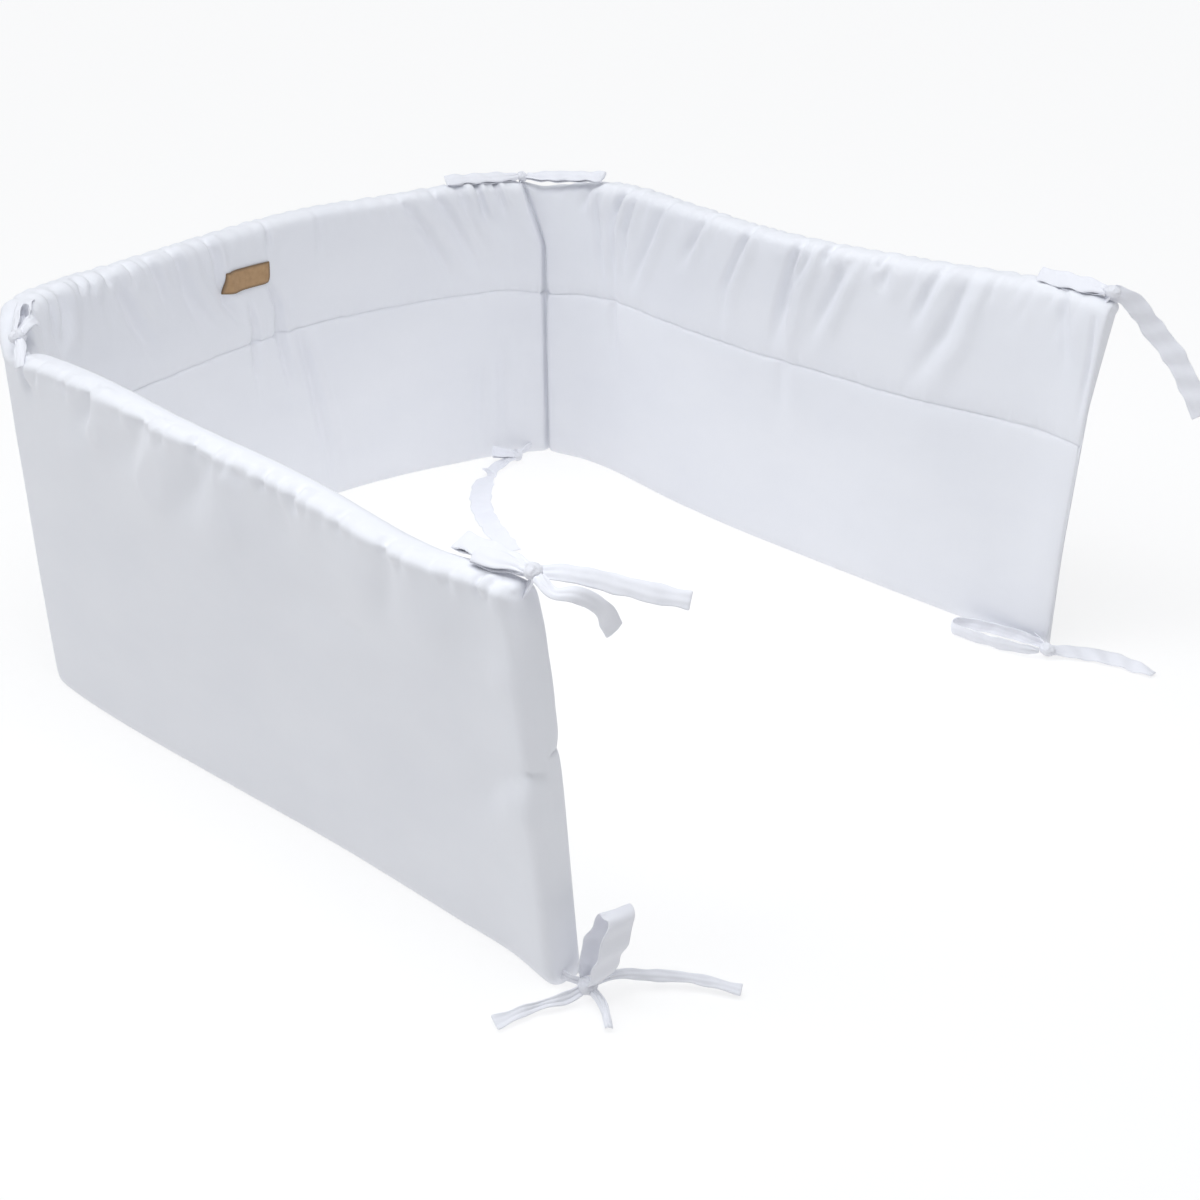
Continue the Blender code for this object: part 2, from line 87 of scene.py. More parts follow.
LEFT_PANEL = [
    # x,    y, seam, top, height
    (16, -586, 11, 10, 287),
    (23, -540, 13, 18, 289),
    (23, -487, 12, 24, 289),
    (23, -369, 12, 18, 295),
    (18, -241, 9, 13, 299),
    (14, -121, 4, 3, 301),
    (14, -65, 1, 1, 298),
    (16, -28, -2, -3, 292),
]
BACK_PANEL = [
    (16, -28, -2, -3, 292),
    (52, 14, 3, 6, 307),
    (98, 42, 7, 3, 305),
    (156, 64, 8, 2, 298),
    (243, 82, 8, 1, 294),
    (331, 92, 8, 2, 292),
    (389, 86, 8, 2, 293),
    (461, 69, 7, -3, 293),
    (530, 43, 5, 0, 294),
    (582, 19, 3, 0, 292),
    (606, -2, -2, 0, 285),
]
RIGHT_PANEL = [
    (606, -2, -2, 0, 285),
    (615, -40, 1, 4, 294),
    (615, -79, 1, 4, 300),
    (600, -177, 0, 2, 302),
    (591, -267, 0, -3, 302),
    (588, -341, 1, -3, 303),
    (585, -456, 3, 15, 304),
    (584, -530, 13, 28, 305),
    (584, -575, 16, 28, 305),
    (586, -611, 12, 23, 304),
]
PROFILE = [
    # height, outside, cot side
    (0.000, 0.66, 0.66),
    (0.009, 0.86, 0.86),
    (0.028, 0.96, 0.96),
    (0.080, 1.00, 1.00),
    (0.210, 1.04, 1.04),
    (0.350, 1.06, 1.06),
    (0.490, 1.05, 1.05),
    (0.625, 1.03, 1.01),
    (0.770, 1.03, 1.04),
    (0.880, 1.00, 1.01),
    (0.945, 0.99, 0.97),
    (0.974, 0.965, 0.90),
    (0.991, 0.90, 0.74),
    (1.000, 0.74, 0.46),
]
PROFILE_KNOTS = [row[0] for row in PROFILE]


def hermite(rows, knots, at):
    """Every column of rows at the distance `at` along a smooth curve through them."""
    last = len(rows) - 1
    i = 0
    while i < last - 1 and knots[i + 1] < at:
        i += 1
    span = knots[i + 1] - knots[i]
    t = (at - knots[i]) / span
    if t < 0.0 or t > 1.0:
        return [a + (b - a) * t for a, b in zip(rows[i], rows[i + 1])]
    values = []
    for column, (a, b) in enumerate(zip(rows[i], rows[i + 1])):
        here = (b - a) / span
        before = after = here
        if i > 0:
            before = (a - rows[i - 1][column]) / (knots[i] - knots[i - 1])
        if i + 1 < last:
            after = (rows[i + 2][column] - b) / (knots[i + 2] - knots[i + 1])
        start = 0.5 * (here + before) * span
        end = 0.5 * (here + after) * span
        ease = t * t * (3.0 - 2.0 * t)
        bow = t * (1.0 - t) * (start * (1.0 - t) - end * t)
        values.append(a + (b - a) * ease + bow)
    return values


def running_lengths(rows, dimensions):
    """Distance of every row from the first, over its first two or three columns."""
    lengths = [0.0]
    for a, b in zip(rows, rows[1:]):
        step = Vector(b[:dimensions]) - Vector(a[:dimensions])
        lengths.append(lengths[-1] + step.length)
    return lengths


PANELS = [(rows, running_lengths(rows, 2)) for rows in (LEFT_PANEL, BACK_PANEL, RIGHT_PANEL)]
LEFT_HINGE = PANELS[0][1][-1]
BACK_HINGE = LEFT_HINGE + PANELS[1][1][-1]
LENGTH = BACK_HINGE + PANELS[2][1][-1]
print("Length along the pad in mm:", round(LENGTH))

# %% [markdown]
# ## The shape of the slab
# A slab of foam in a cover is boxed: nearly flat on top and at its ends, with soft edges. At
# each corner the cover is sewn through, so the cloth sinks into a crevice, and near the top
# the tie pulls that crevice open. The right end hangs loose between its two ties, so it is
# pinched flat there and falls a little to the cot side. The same few functions place any
# point of the cloth.

# %% Place a point of the cloth
FRONT_ROUND, FRONT_OUT, FRONT_IN = 8.0, 0.45, 0.28
RIGHT_ROUND, RIGHT_NARROW = 24.0, 0.25
RIGHT_PINCH, PINCH_OVER = 1.35, 0.28
RIGHT_TUCK, TUCK_OVER, TUCK_FOOT = 7.0, 60.0, 0.3
END_TOP_DROP = 4.0
END_FOOT_RISE = 2.0
FRONT_LEAN = 21.0
FRONT_LEAN_OVER = 90.0
SLIT_DEPTH, SLIT_HALF = 9.5, 1.8
LIP_DEPTH, LIP_HALF = 3.4, 9.0
WEDGE_FROM, WEDGE_TO = 228.0, 290.0
WEDGE_PULL, WEDGE_PULL_OVER = 20.0, 70.0
WEDGE_WIDE, WEDGE_DEPTH = 26.0, 11.0
TOP_CROWN = 1.0
END_BULGE = 1.6


def section(s):
    """Plan place, seam and top offsets and height at the distance s along the pad."""
    if s < LEFT_HINGE:
        return hermite(*PANELS[0], s)
    if s < BACK_HINGE:
        return hermite(*PANELS[1], s - LEFT_HINGE)
    return hermite(*PANELS[2], s - BACK_HINGE)


def outward(s):
    """Unit plan vector from the cot side to the outside."""
    a = section(s - TURN_REACH)
    b = section(s + TURN_REACH)
    run = sqrt((b[0] - a[0]) ** 2 + (b[1] - a[1]) ** 2)
    return -(b[1] - a[1]) / run, (b[0] - a[0]) / run


def from_hinge(s):
    """Distance past the nearer of the two hinges."""
    return s - (LEFT_HINGE if s < 0.5 * (LEFT_HINGE + BACK_HINGE) else BACK_HINGE)


def wedge_share(z):
    """0 below the wedge at a hinge, 1 at the top."""
    return min(1.0, max(0.0, (z - WEDGE_FROM) / (WEDGE_TO - WEDGE_FROM)))


def hinge_depth(s, z):
    """Crevice on the cot side where two slabs meet, with its wedge near the top."""
    d = from_hinge(s)
    depth = SLIT_DEPTH * exp(-(d / SLIT_HALF) ** 2) + LIP_DEPTH * exp(-(d / LIP_HALF) ** 2)
    if d >= 0.0:
        depth += WEDGE_DEPTH * wedge_share(z) * max(0.0, 1.0 - d / WEDGE_WIDE)
    return depth


def gather_shift(s, height, z):
    """How far the ties pull the cloth along the pad near its top."""
    lean = FRONT_LEAN * height ** 3 * max(0.0, 1.0 - s / FRONT_LEAN_OVER)
    pull = max(0.0, 1.0 - abs(from_hinge(s)) / WEDGE_PULL_OVER)
    return lean - WEDGE_PULL * wedge_share(z) * pull


def end_share(s):
    """0 at an end face, 1 once past its rounding."""
    e = min(s / FRONT_ROUND, (LENGTH - s) / RIGHT_ROUND)
    return 1.0 if e >= 1.0 else sqrt(max(0.0, 1.0 - (1.0 - e) ** 2))


def right_tuck(s, height):
    """How far the right end falls to the cot side between its two ties."""
    near = max(0.0, 1.0 - (LENGTH - s) / TUCK_OVER)
    return RIGHT_TUCK * near ** 2 * min(1.0, (1.0 - height) / PINCH_OVER, height / TUCK_FOOT)


def lean_out(height, seam_out, top_out):
    """Offset at a share of the height: a parabola through foot, seam and top."""
    bend = (top_out - seam_out / SEAM_AT) / (1.0 - SEAM_AT)
    return height * (seam_out / SEAM_AT + bend * (height - SEAM_AT))


def place(s, height, across):
    """Point of the cover: across runs from -1 on the cot side to +1 outside."""
    at = s + gather_shift(s, height, height * section(s)[4])
    x, y, seam_out, top_out, top = section(at)
    nx, ny = outward(at)
    full = end_share(s)
    foot = END_FOOT_RISE * (1.0 - full) * (1.0 - height) ** 4
    z = height * (top - END_TOP_DROP * (1.0 - full)) + foot
    _, half_out, half_in = hermite(PROFILE, PROFILE_KNOTS, height)
    narrow_out, narrow_in = FRONT_OUT, FRONT_IN
    if s > 0.5 * LENGTH:
        narrow_in = RIGHT_NARROW
        narrow_out = RIGHT_NARROW + RIGHT_PINCH * min(1.0, (1.0 - height) / PINCH_OVER)
    outer = 0.5 * THICK * half_out * (1.0 - narrow_out * (1.0 - full))
    inner = 0.5 * THICK * half_in * (1.0 - narrow_in * (1.0 - full))
    inner -= hinge_depth(s, z) * min(1.0, half_in)
    off = 0.5 * THICK + lean_out(height, seam_out, top_out)
    off += outer * (1.0 + across) / 2.0 - inner * (1.0 - across) / 2.0
    off -= right_tuck(s, height)
    if height > 0.999:
        z += TOP_CROWN * (1.0 - across * across)
    bulge = END_BULGE * (1.0 - across * across) * sin(pi * height)
    bulge *= (s > LENGTH - 0.01) - (s < 0.01)
    return Vector((x + nx * off + ny * bulge - ORIGIN[0],
                   y + ny * off - nx * bulge - ORIGIN[1], z)) * MM


print("Foot of the middle of the back panel:", place(880.0, 0.0, 0.0).to_tuple(4))

# %% [markdown]
# ## A box of faces becomes the cover
# A cover could be lofted by hand, but a cube cut into a grid already is one closed skin, so
# every corner of the grid is only moved to its place. The grid is closer at the ends, at the
# two hinges, at the seam and at the top edge, where the cloth turns sharply. Three values are
# kept on every point for later: the way along the pad, the height, and the side.

# %% Build the cover's grid
STATION_STEP = 5.2
LOW_ROW_STEP = 0.05
HIGH_ROW_STEP = 0.022
FRONT_STATIONS = (0.0, 0.6, 1.7, 3.4, 5.6, 8.0)
RIGHT_STATIONS = (0.0, 0.6, 1.7, 3.4, 6.0, 9.5, 14.0, 19.0, 24.0)
HINGE_STATIONS = (-18.0, -12.0, -8.0, -5.0, -3.0, -1.6, -0.5, 0.5, 1.6, 3.0, 5.0, 8.0, 12.0,
                  18.0, 26.0)
LOW_ROWS = (0.0, 0.009, 0.028, 0.055, 0.595, 0.608, 0.618, 0.625)
HIGH_ROWS = (0.625, 0.632, 0.642, 0.655, 0.93, 0.948, 0.963, 0.976, 0.988, 1.0)
ACROSS_CUTS = 4
POINT_VALUES = ("along", "up", "side")


def filled(fixed, step):
    """The fixed values, with equal steps between those that lie far apart."""
    values = []
    for a, b in zip(fixed, fixed[1:]):
        pieces = max(1, round((b - a) / step + 0.49))
        values += [a + (b - a) * k / pieces for k in range(pieces)]
    return values + [fixed[-1]]


def stations():
    fixed = list(FRONT_STATIONS) + [LENGTH - d for d in RIGHT_STATIONS]
    for hinge in (LEFT_HINGE, BACK_HINGE):
        fixed += [hinge + d for d in HINGE_STATIONS]
    return filled(sorted(fixed), STATION_STEP)


def split_along(bm, axis, pieces):
    """Cut every edge that runs along an axis into equal pieces."""
    edges = [e for e in bm.edges if abs(e.verts[0].co[axis] - e.verts[1].co[axis]) > 0.5]
    bmesh.ops.subdivide_edges(bm, edges=edges, cuts=pieces - 1, use_grid_fill=True)


def cover_grid():
    spots = stations()
    rows = filled(LOW_ROWS, LOW_ROW_STEP) + filled(HIGH_ROWS, HIGH_ROW_STEP)[1:]
    bm = bmesh.new()
    bmesh.ops.create_cube(bm, size=1.0)
    split_along(bm, 0, len(spots) - 1)
    split_along(bm, 2, len(rows) - 1)
    split_along(bm, 1, ACROSS_CUTS)
    along, up, side = [bm.verts.layers.float.new(name) for name in POINT_VALUES]
    for vert in bm.verts:
        s = spots[round((vert.co.x + 0.5) * (len(spots) - 1))]
        height = rows[round((vert.co.z + 0.5) * (len(rows) - 1))]
        across = 2.0 * vert.co.y
        vert[along], vert[up], vert[side] = s, height, across
        vert.co = place(s, height, across)
    return bm


cover = cover_grid()
print("Cover grid:", len(cover.verts), "points,", len(cover.faces), "faces")

# %% [markdown]
# ## Thread directions for the weave
# The weave and the slubs have to follow the cloth round its corners, so the
# cover gets its own UV map in metres: U along the pad and V round the slab. The two end faces
# are pieces of their own, and get U across the slab.

# %% Give the cover its UV map
PANEL_HIGH = 0.297


def lay_out_cloth(bm):
    along, up, side = (bm.verts.layers.float[name] for name in POINT_VALUES)
    cloth = bm.loops.layers.uv.new("cloth")
    for face in bm.faces:
        at_end = all(v[along] < 0.01 or v[along] > LENGTH - 0.01 for v in face.verts)
        for loop in face.loops:
            vert = loop.vert
            high = PANEL_HIGH * vert[up]
            if at_end:
                loop[cloth].uv = (vert[side] * 0.5 * THICK * MM, high)
            elif vert[side] > 0.99:
                loop[cloth].uv = (vert[along] * MM, high)
            else:
                over = PANEL_HIGH + (1.0 - vert[side]) * 0.5 * THICK * MM
                loop[cloth].uv = (vert[along] * MM, over + PANEL_HIGH - high)


lay_out_cloth(cover)
print("UV maps on the cover:", cover.loops.layers.uv.keys())

# %% [markdown]
# ## Let the cloth settle over the foam
# A cover is cut a little larger than its slab, and the foam presses it outward. Blender's
# cloth does just that: pressure from inside, no gravity, and a little more cloth than room.
# The seam, the hinges and the foot are pinned, as thread and floor hold them. No point may
# move far, so the pad keeps its size. The close rows at the seam and the top edge would print
# ripples on the plain faces, so there the movement is evened out with that of its neighbours.

# %% Run the cloth and keep its result
SIM_FRAMES = 20
MOST_MOVE = 6.0 * MM
EXTRA_CLOTH = 0.045
EVEN_OUTSIDE, EVEN_FOOT, EVEN_TOP = 0.9, 0.5, 0.2
EVEN_FOOT_UP_TO = 0.58
EVEN_ROUNDS = 12


def pin_weight(s, height, side):
    """1 where thread or floor holds the cloth, less where the foam's edge steadies it."""
    seam = exp(-((height - SEAM_AT) / 0.012) ** 2) if side < -0.5 else 0.0
    hinge = exp(-(from_hinge(s) / 6.0) ** 2)
    foot = exp(-(height / 0.05) ** 2)
    edge = 0.35 * exp(-((height - 0.975) / 0.03) ** 2)
    ends = 0.6 * exp(-(min(s, LENGTH - s) / 9.0) ** 2)
    return min(1.0, max(seam, hinge, foot, edge, ends))


def evenness(height, side):
    """How far a point follows its neighbours: most on the plain outside."""
    if side > 0.4:
        return EVEN_OUTSIDE
    return EVEN_FOOT if height < EVEN_FOOT_UP_TO else EVEN_TOP


def even_out(mesh, move, share):
    """Average the way of neighbouring points, as plain cloth over foam does."""
    edge = np.empty(len(mesh.edges) * 2, dtype=np.int32)
    mesh.edges.foreach_get("vertices", edge)
    a, b = edge.reshape(-1, 2).T
    count = np.bincount(edge, minlength=len(move))[:, None]
    for _ in range(EVEN_ROUNDS):
        total = np.zeros_like(move)
        np.add.at(total, a, move[b])
        np.add.at(total, b, move[a])
        move = move + share * (total / count - move)
    return move


def places_of(mesh):
    places = np.empty(len(mesh.vertices) * 3)
    mesh.vertices.foreach_get("co", places)
    return places.reshape(-1, 3)


def settle(obj):
    """Cloth with pressure from inside, stepped through and then applied."""
    group = obj.vertex_groups.new(name="held")
    mesh = obj.data
    along, up, side = (mesh.attributes[name].data for name in POINT_VALUES)
    for i in range(len(mesh.vertices)):
        group.add([i], pin_weight(along[i].value, up[i].value, side[i].value), "REPLACE")
    start = places_of(mesh)
    cloth = obj.modifiers.new("cloth", "CLOTH")
    held = cloth.settings
    held.quality = 6
    held.mass = 0.2
    held.tension_stiffness = held.compression_stiffness = 12.0
    held.shear_stiffness = 5.0
    held.bending_stiffness = 0.3
    held.tension_damping = held.compression_damping = held.shear_damping = 8.0
    held.vertex_group_mass = "held"
    held.pin_stiffness = 1.0
    held.shrink_min = -EXTRA_CLOTH
    held.use_pressure = True
    held.uniform_pressure_force = 4.0
    held.effector_weights.gravity = 0.0
    cloth.collision_settings.use_self_collision = False
    cloth.point_cache.frame_end = SIM_FRAMES
    scene = bpy.context.scene
    for number in range(1, SIM_FRAMES + 1):
        scene.frame_set(number)
    evaluated = obj.evaluated_get(bpy.context.evaluated_depsgraph_get())
    move = places_of(evaluated.data) - start
    obj.modifiers.remove(cloth)
    obj.vertex_groups.clear()
    scene.frame_set(1)
    far = np.linalg.norm(move, axis=1, keepdims=True)
    move *= np.minimum(1.0, MOST_MOVE / np.maximum(far, 1e-9))
    print("Cloth moved in mm: mean", round(1000 * far.mean(), 2),
          "most", round(1000 * far.max(), 2))
    share = np.array([[evenness(up[i].value, side[i].value)] for i in range(len(move))])
    move = even_out(mesh, move, share)
    mesh.vertices.foreach_set("co", (start + move).ravel())
    mesh.update()


def new_piece(name, bm):
    """An object at the origin, its place in its mesh."""
    mesh = bpy.data.meshes.new(name)
    bm.to_mesh(mesh)
    bm.free()
    mesh.shade_smooth()
    obj = bpy.data.objects.new(name, mesh)
    bpy.context.scene.collection.objects.link(obj)
    return obj


pad = new_piece("padded_cover", cover)
settle(pad)

# %% [markdown]
# ## A finer skin for the creases
# One level of subdivision rounds the settled cloth and gives a grid of about four
# millimetres, fine enough for creases. It is applied, because the creases are then pressed
# into those points one by one.

# %% Subdivide and read the points
def apply_subdivision(obj, levels):
    smooth = obj.modifiers.new("smooth", "SUBSURF")
    smooth.levels = smooth.render_levels = levels
    smooth.boundary_smooth = "PRESERVE_CORNERS"
    evaluated = obj.evaluated_get(bpy.context.evaluated_depsgraph_get())
    fine = bpy.data.meshes.new_from_object(evaluated)
    obj.modifiers.clear()
    old = obj.data
    obj.data = fine
    bpy.data.meshes.remove(old)
    fine.name = obj.name
    fine.shade_smooth()


def point_values(mesh, name):
    values = np.empty(len(mesh.vertices))
    mesh.attributes[name].data.foreach_get("value", values)
    return values


apply_subdivision(pad, 1)
S, UP, SIDE = (point_values(pad.data, name) for name in POINT_VALUES)
Z = UP * 1000.0 * PANEL_HIGH
print("Fine cover:", len(pad.data.polygons), "faces")

# %% [markdown]
# ## Folds, one by one
# The cover is gathered on its foam, so folds run down from the top edge and lean. Each is a
# narrow trough with a soft ridge along one side, as in a small tuck. It runs out at its
# lower end. The tables hold the folds that the photograph shows: half the width of the
# trough, its depth, the height of the ridge, and the places it passes, in millimetres along
# the pad and above the floor.

# %% Tables of the folds
COT_SIDE_FOLDS = [
    # half, depth, ridge, places
    (3.0, 4.1, 2.3, (690, 299), (680, 285)),
    (4.2, 6.1, 4.5, (656, 296), (653, 276), (646, 246)),
    (3.0, 4.5, 2.5, (701, 299), (692, 280)),
    (4.5, 5.2, 4.1, (727, 299), (734, 268), (764, 206)),
    (3.0, 4.1, 2.3, (746, 299), (744, 275)),
    (3.0, 4.1, 2.3, (722, 299), (716, 282)),
    (3.4, 4.1, 2.9, (772, 299), (786, 240)),
    (4.5, 5.2, 4.1, (800, 299), (811, 253), (828, 212)),
    (4.0, 2.9, 2.9, (819, 251), (844, 206)),
    (3.4, 6.4, 3.2, (846, 297), (850, 258), (856, 236), (880, 206)),
    (2.3, 4.8, 0.8, (914, 297), (912, 264)),
    (2.3, 2.9, 0.5, (968, 297), (967, 250)),
    (2.6, 5.5, 1.5, (885, 226), (891, 199), (887, 165), (889, 130)),
    (3.0, 6.8, 2.0, (910, 240), (919, 215), (918, 190), (922, 155), (927, 118)),
    (4.0, 5.5, 2.9, (941, 174), (950, 118), (957, 59), (955, 8)),
    (4.0, 5.2, 4.1, (1054, 299), (1070, 272), (1081, 259), (1108, 204)),
    (4.4, 5.2, 4.5, (1092, 299), (1112, 262), (1137, 212)),
    (4.4, 4.8, 4.1, (1115, 299), (1127, 264), (1150, 220)),
    (3.2, 4.5, 2.9, (1139, 299), (1150, 254)),
    (3.0, 4.1, 2.3, (1165, 299), (1174, 266)),
    (7.0, 4.5, 3.6, (1136, 95), (1132, 10)),
    (6.0, 4.5, 2.5, (1158, 110), (1158, 10)),
    (3.2, 3.9, 2.3, (1256, 299), (1250, 272)),
    (3.6, 5.2, 2.9, (1262, 297), (1268, 238), (1274, 190)),
    (3.4, 4.7, 2.6, (1302, 299), (1280, 262)),
    (3.6, 5.5, 3.1, (1298, 290), (1286, 260), (1288, 192)),
    (3.6, 4.4, 3.1, (1318, 299), (1304, 256), (1303, 208)),
    (4.0, 4.7, 3.6, (1362, 299), (1334, 244), (1312, 202)),
    (3.6, 4.9, 3.1, (1420, 299), (1407, 277), (1386, 244)),
    (3.6, 5.2, 3.9, (1476, 299), (1462, 272), (1448, 240), (1446, 204)),
    (4.0, 6.8, 3.9, (1532, 299), (1526, 281), (1520, 258), (1505, 192)),
    (3.6, 4.7, 3.9, (1546, 299), (1540, 281), (1524, 253), (1515, 196)),
    (3.0, 4.4, 2.3, (1563, 299), (1557, 284)),
    (4.0, 4.2, 3.9, (1582, 286), (1565, 251), (1547, 214)),
    (2.8, 3.9, 1.8, (1612, 299), (1609, 286)),
    (3.2, 3.9, 2.3, (1621, 294), (1614, 268)),
    (4.0, 4.9, 3.9, (1668, 299), (1662, 286), (1648, 246)),
    (5.0, 4.4, 3.6, (1691, 296), (1679, 247), (1653, 198)),
    (3.0, 3.4, 2.3, (1771, 297), (1780, 273), (1788, 240)),
    (4.5, 4.4, 1.6, (1289, 186), (1292, 120)),
    (5.0, 1.8, 1.8, (1517, 184), (1520, 124)),
    (2.8, 4.4, 2.5, (641, 294), (638, 272), (641, 244)),
    (1.8, 3.4, 0.4, (LENGTH - 9, 284), (LENGTH - 6, 250), (LENGTH - 6, 205)),
]
OUTSIDE_FOLDS = [
    (4.0, 5.7, 2.1, (557, 297), (545, 284), (529, 270)),
    (3.0, 2.6, 1.0, (476, 299), (474, 284)),
    (6.0, 5.5, 3.1, (442, 299), (446, 280), (457, 260)),
    (10.0, 4.7, 2.6, (371, 299), (388, 272), (411, 244)),
    (3.0, 3.4, 1.3, (368, 299), (365, 280)),
    (3.0, 3.9, 1.3, (317, 299), (314, 286)),
    (9.0, 4.9, 2.6, (301, 299), (312, 275), (322, 259), (343, 234)),
    (6.0, 3.1, 1.6, (282, 299), (262, 282)),
    (3.0, 3.4, 1.0, (243, 299), (243, 284)),
    (4.0, 3.4, 1.3, (212, 299), (211, 276)),
    (9.0, 2.3, 1.3, (227, 282), (224, 252)),
    (3.0, 2.6, 1.0, (166, 299), (164, 284)),
    (3.2, 3.1, 1.2, (124, 299), (122, 286)),
    (8.0, 2.6, 1.3, (119, 290), (124, 262), (131, 230)),
    (9.0, 1.8, 1.3, (150, 216), (209, 222), (242, 204)),
    (2.6, 3.4, 2.1, (0, 175), (9, 172)),
    (9.0, 3.1, 1.8, (6, 174), (40, 150), (74, 120)),
    (3.0, 2.6, 1.0, (34, 299), (30, 284)),
]
SWELLS = [
    # along, up, radius, height: soft places on the outside where the cloth stands proud
    (369, 253, 22, 2.2), (438, 266, 12, 1.6), (470, 240, 18, 1.6), (282, 246, 14, 1.8),
    (154, 257, 20, 1.6), (82, 255, 18, 1.6), (16, 236, 14, 1.4), (16, 150, 18, 1.8),
    (330, 180, 46, 1.4), (180, 130, 52, 1.4), (430, 110, 52, 1.2), (64, 66, 40, 1.2),
]
print("Folds in the tables:", len(COT_SIDE_FOLDS) + len(OUTSIDE_FOLDS))

# %% [markdown]
# ## Press the folds into the cloth
# For every point of the cover the nearest place on a fold's line is found, and the point goes
# in or out along its normal. Numpy does this for all points at once, which keeps it quick.

# %% Press the large folds
FOLD_REACH = 7.0
FOLD_SPREAD = 0.5
RIDGE_AT, RIDGE_HALF = 2.4, 1.5
RUN_OUT = 1.6
SIDE_GAIN = 1.6
SWELL = 1.6
MOST_PROUD, MOST_DEEP = 3.5, 7.0


def press(folds, share, side):
    """Depth of all troughs and ridges, at every point of the cover."""
    total = np.zeros(len(S))
    for half, depth, ridge, *places in folds:
        reach = FOLD_REACH * half
        low, high = min(p[0] for p in places) - reach, max(p[0] for p in places) + reach
        near = np.nonzero((S > low) & (S < high) & (share > 0.0))[0]
        s, z = S[near], Z[near]
        lengths = running_lengths(places, 2)
        best = np.full(len(near), 1e9)
        off, run, past = np.zeros(len(near)), np.zeros(len(near)), np.zeros(len(near))
        for (s0, z0), (s1, z1), before in zip(places, places[1:], lengths):
            ds, dz = s1 - s0, z1 - z0
            long = sqrt(ds * ds + dz * dz)
            t = ((s - s0) * ds + (z - z0) * dz) / long ** 2
            held = np.clip(t, 0.0, 1.0)
            away = np.hypot(s - s0 - held * ds, z - z0 - held * dz)
            closer = away < best
            best = np.where(closer, away, best)
            off = np.where(closer, side * ((z - z0) * ds - (s - s0) * dz) / long, off)
            run = np.where(closer, before + held * long, run)
            past = np.where(closer, np.abs(t - held) * long, past)
        down = run / lengths[-1]
        wider = half * (1.0 + FOLD_SPREAD * down)
        fade = np.minimum(1.0, 0.55 + 3.0 * down) * np.minimum(1.0, 0.15 + 2.2 * (1.0 - down))
        fade *= np.exp(-(past / (RUN_OUT * half)) ** 2)
        trough = depth * np.exp(-(off / wider) ** 2)
        proud = ridge * np.exp(-((off - RIDGE_AT * wider) / (RIDGE_HALF * wider)) ** 2)
        total[near] += share[near] * fade * (trough - proud)
    return total


def push(mesh, depth_mm):
    """Move every point inwards along its normal."""
    normal = np.empty(len(mesh.vertices) * 3)
    mesh.vertex_normals.foreach_get("vector", normal)
    co = places_of(mesh) - normal.reshape(-1, 3) * (depth_mm * MM)[:, None]
    co[:, 2] = np.maximum(co[:, 2], 0.0)
    mesh.vertices.foreach_set("co", co.ravel())
    mesh.update()


cot_side = np.clip(-SIDE * SIDE_GAIN, 0.0, 1.0)
outside = np.clip(SIDE * SIDE_GAIN, 0.0, 1.0)
large = press(COT_SIDE_FOLDS, cot_side, 1.0) + press(OUTSIDE_FOLDS, outside, -1.0)
for s, z, radius, height in SWELLS:
    large -= SWELL * outside * height * np.exp(-((S - s) ** 2 + (Z - z) ** 2) / radius ** 2)
push(pad.data, np.clip(large, -MOST_PROUD, MOST_DEEP))
print("Deepest fold in mm:", round(large.max(), 1), "highest ridge:", round(-large.min(), 1))

# %% [markdown]
# ## Small gathers, puckers and the seam
# Between the large folds the top edge is gathered all along, and the seam is drawn in by its
# thread, with a short pucker every centimetre or so. The thread lets the seam wander by half
# a millimetre. On the outside a soft ridge runs below the top edge, where the cloth turns over
# the foam. The places are random but always the same, because they come from a fixed seed.

# %% Press the small gathers and the seam
dice = random.Random(7)
SEAM_HIGH = SEAM_AT * 1000.0 * PANEL_HIGH
TOP_EDGE = 300.0
THREAD_DEPTH, THREAD_HALF = 1.5, 1.1
DIP_DEPTH, DIP_HALF = 1.5, 7.0
SEAM_WANDER = 0.25
TURN_RIDGE, TURN_AT, TURN_HALF = 1.3, 293.0, 3.2


def top_gathers(start, end, spacing, longest, depth, lean):
    """Short folds that hang from the top edge between two places."""
    rows = []
    s = start
    while s < end:
        long = dice.uniform(0.3, 1.0) * longest
        slant = lean * long * dice.uniform(0.4, 1.3)
        deep = depth * dice.uniform(0.4, 1.0)
        rows.append((dice.uniform(2.2, 3.6), deep, 0.7 * deep, (s, TOP_EDGE),
                     (s + slant, TOP_EDGE - long)))
        s += spacing * dice.uniform(0.6, 1.5)
    return rows


def seam_puckers(start, end):
    """Tiny folds across the pieced seam."""
    rows = []
    s = start
    while s < end:
        above = SEAM_HIGH + dice.uniform(4.0, 13.0)
        below = SEAM_HIGH - dice.uniform(3.0, 9.0)
        deep = dice.uniform(0.3, 0.8)
        rows.append((dice.uniform(2.0, 3.0), deep, 0.4 * deep, (s, above),
                     (s + dice.uniform(-3.0, 2.0), below)))
        s += dice.uniform(7.0, 17.0)
    return rows


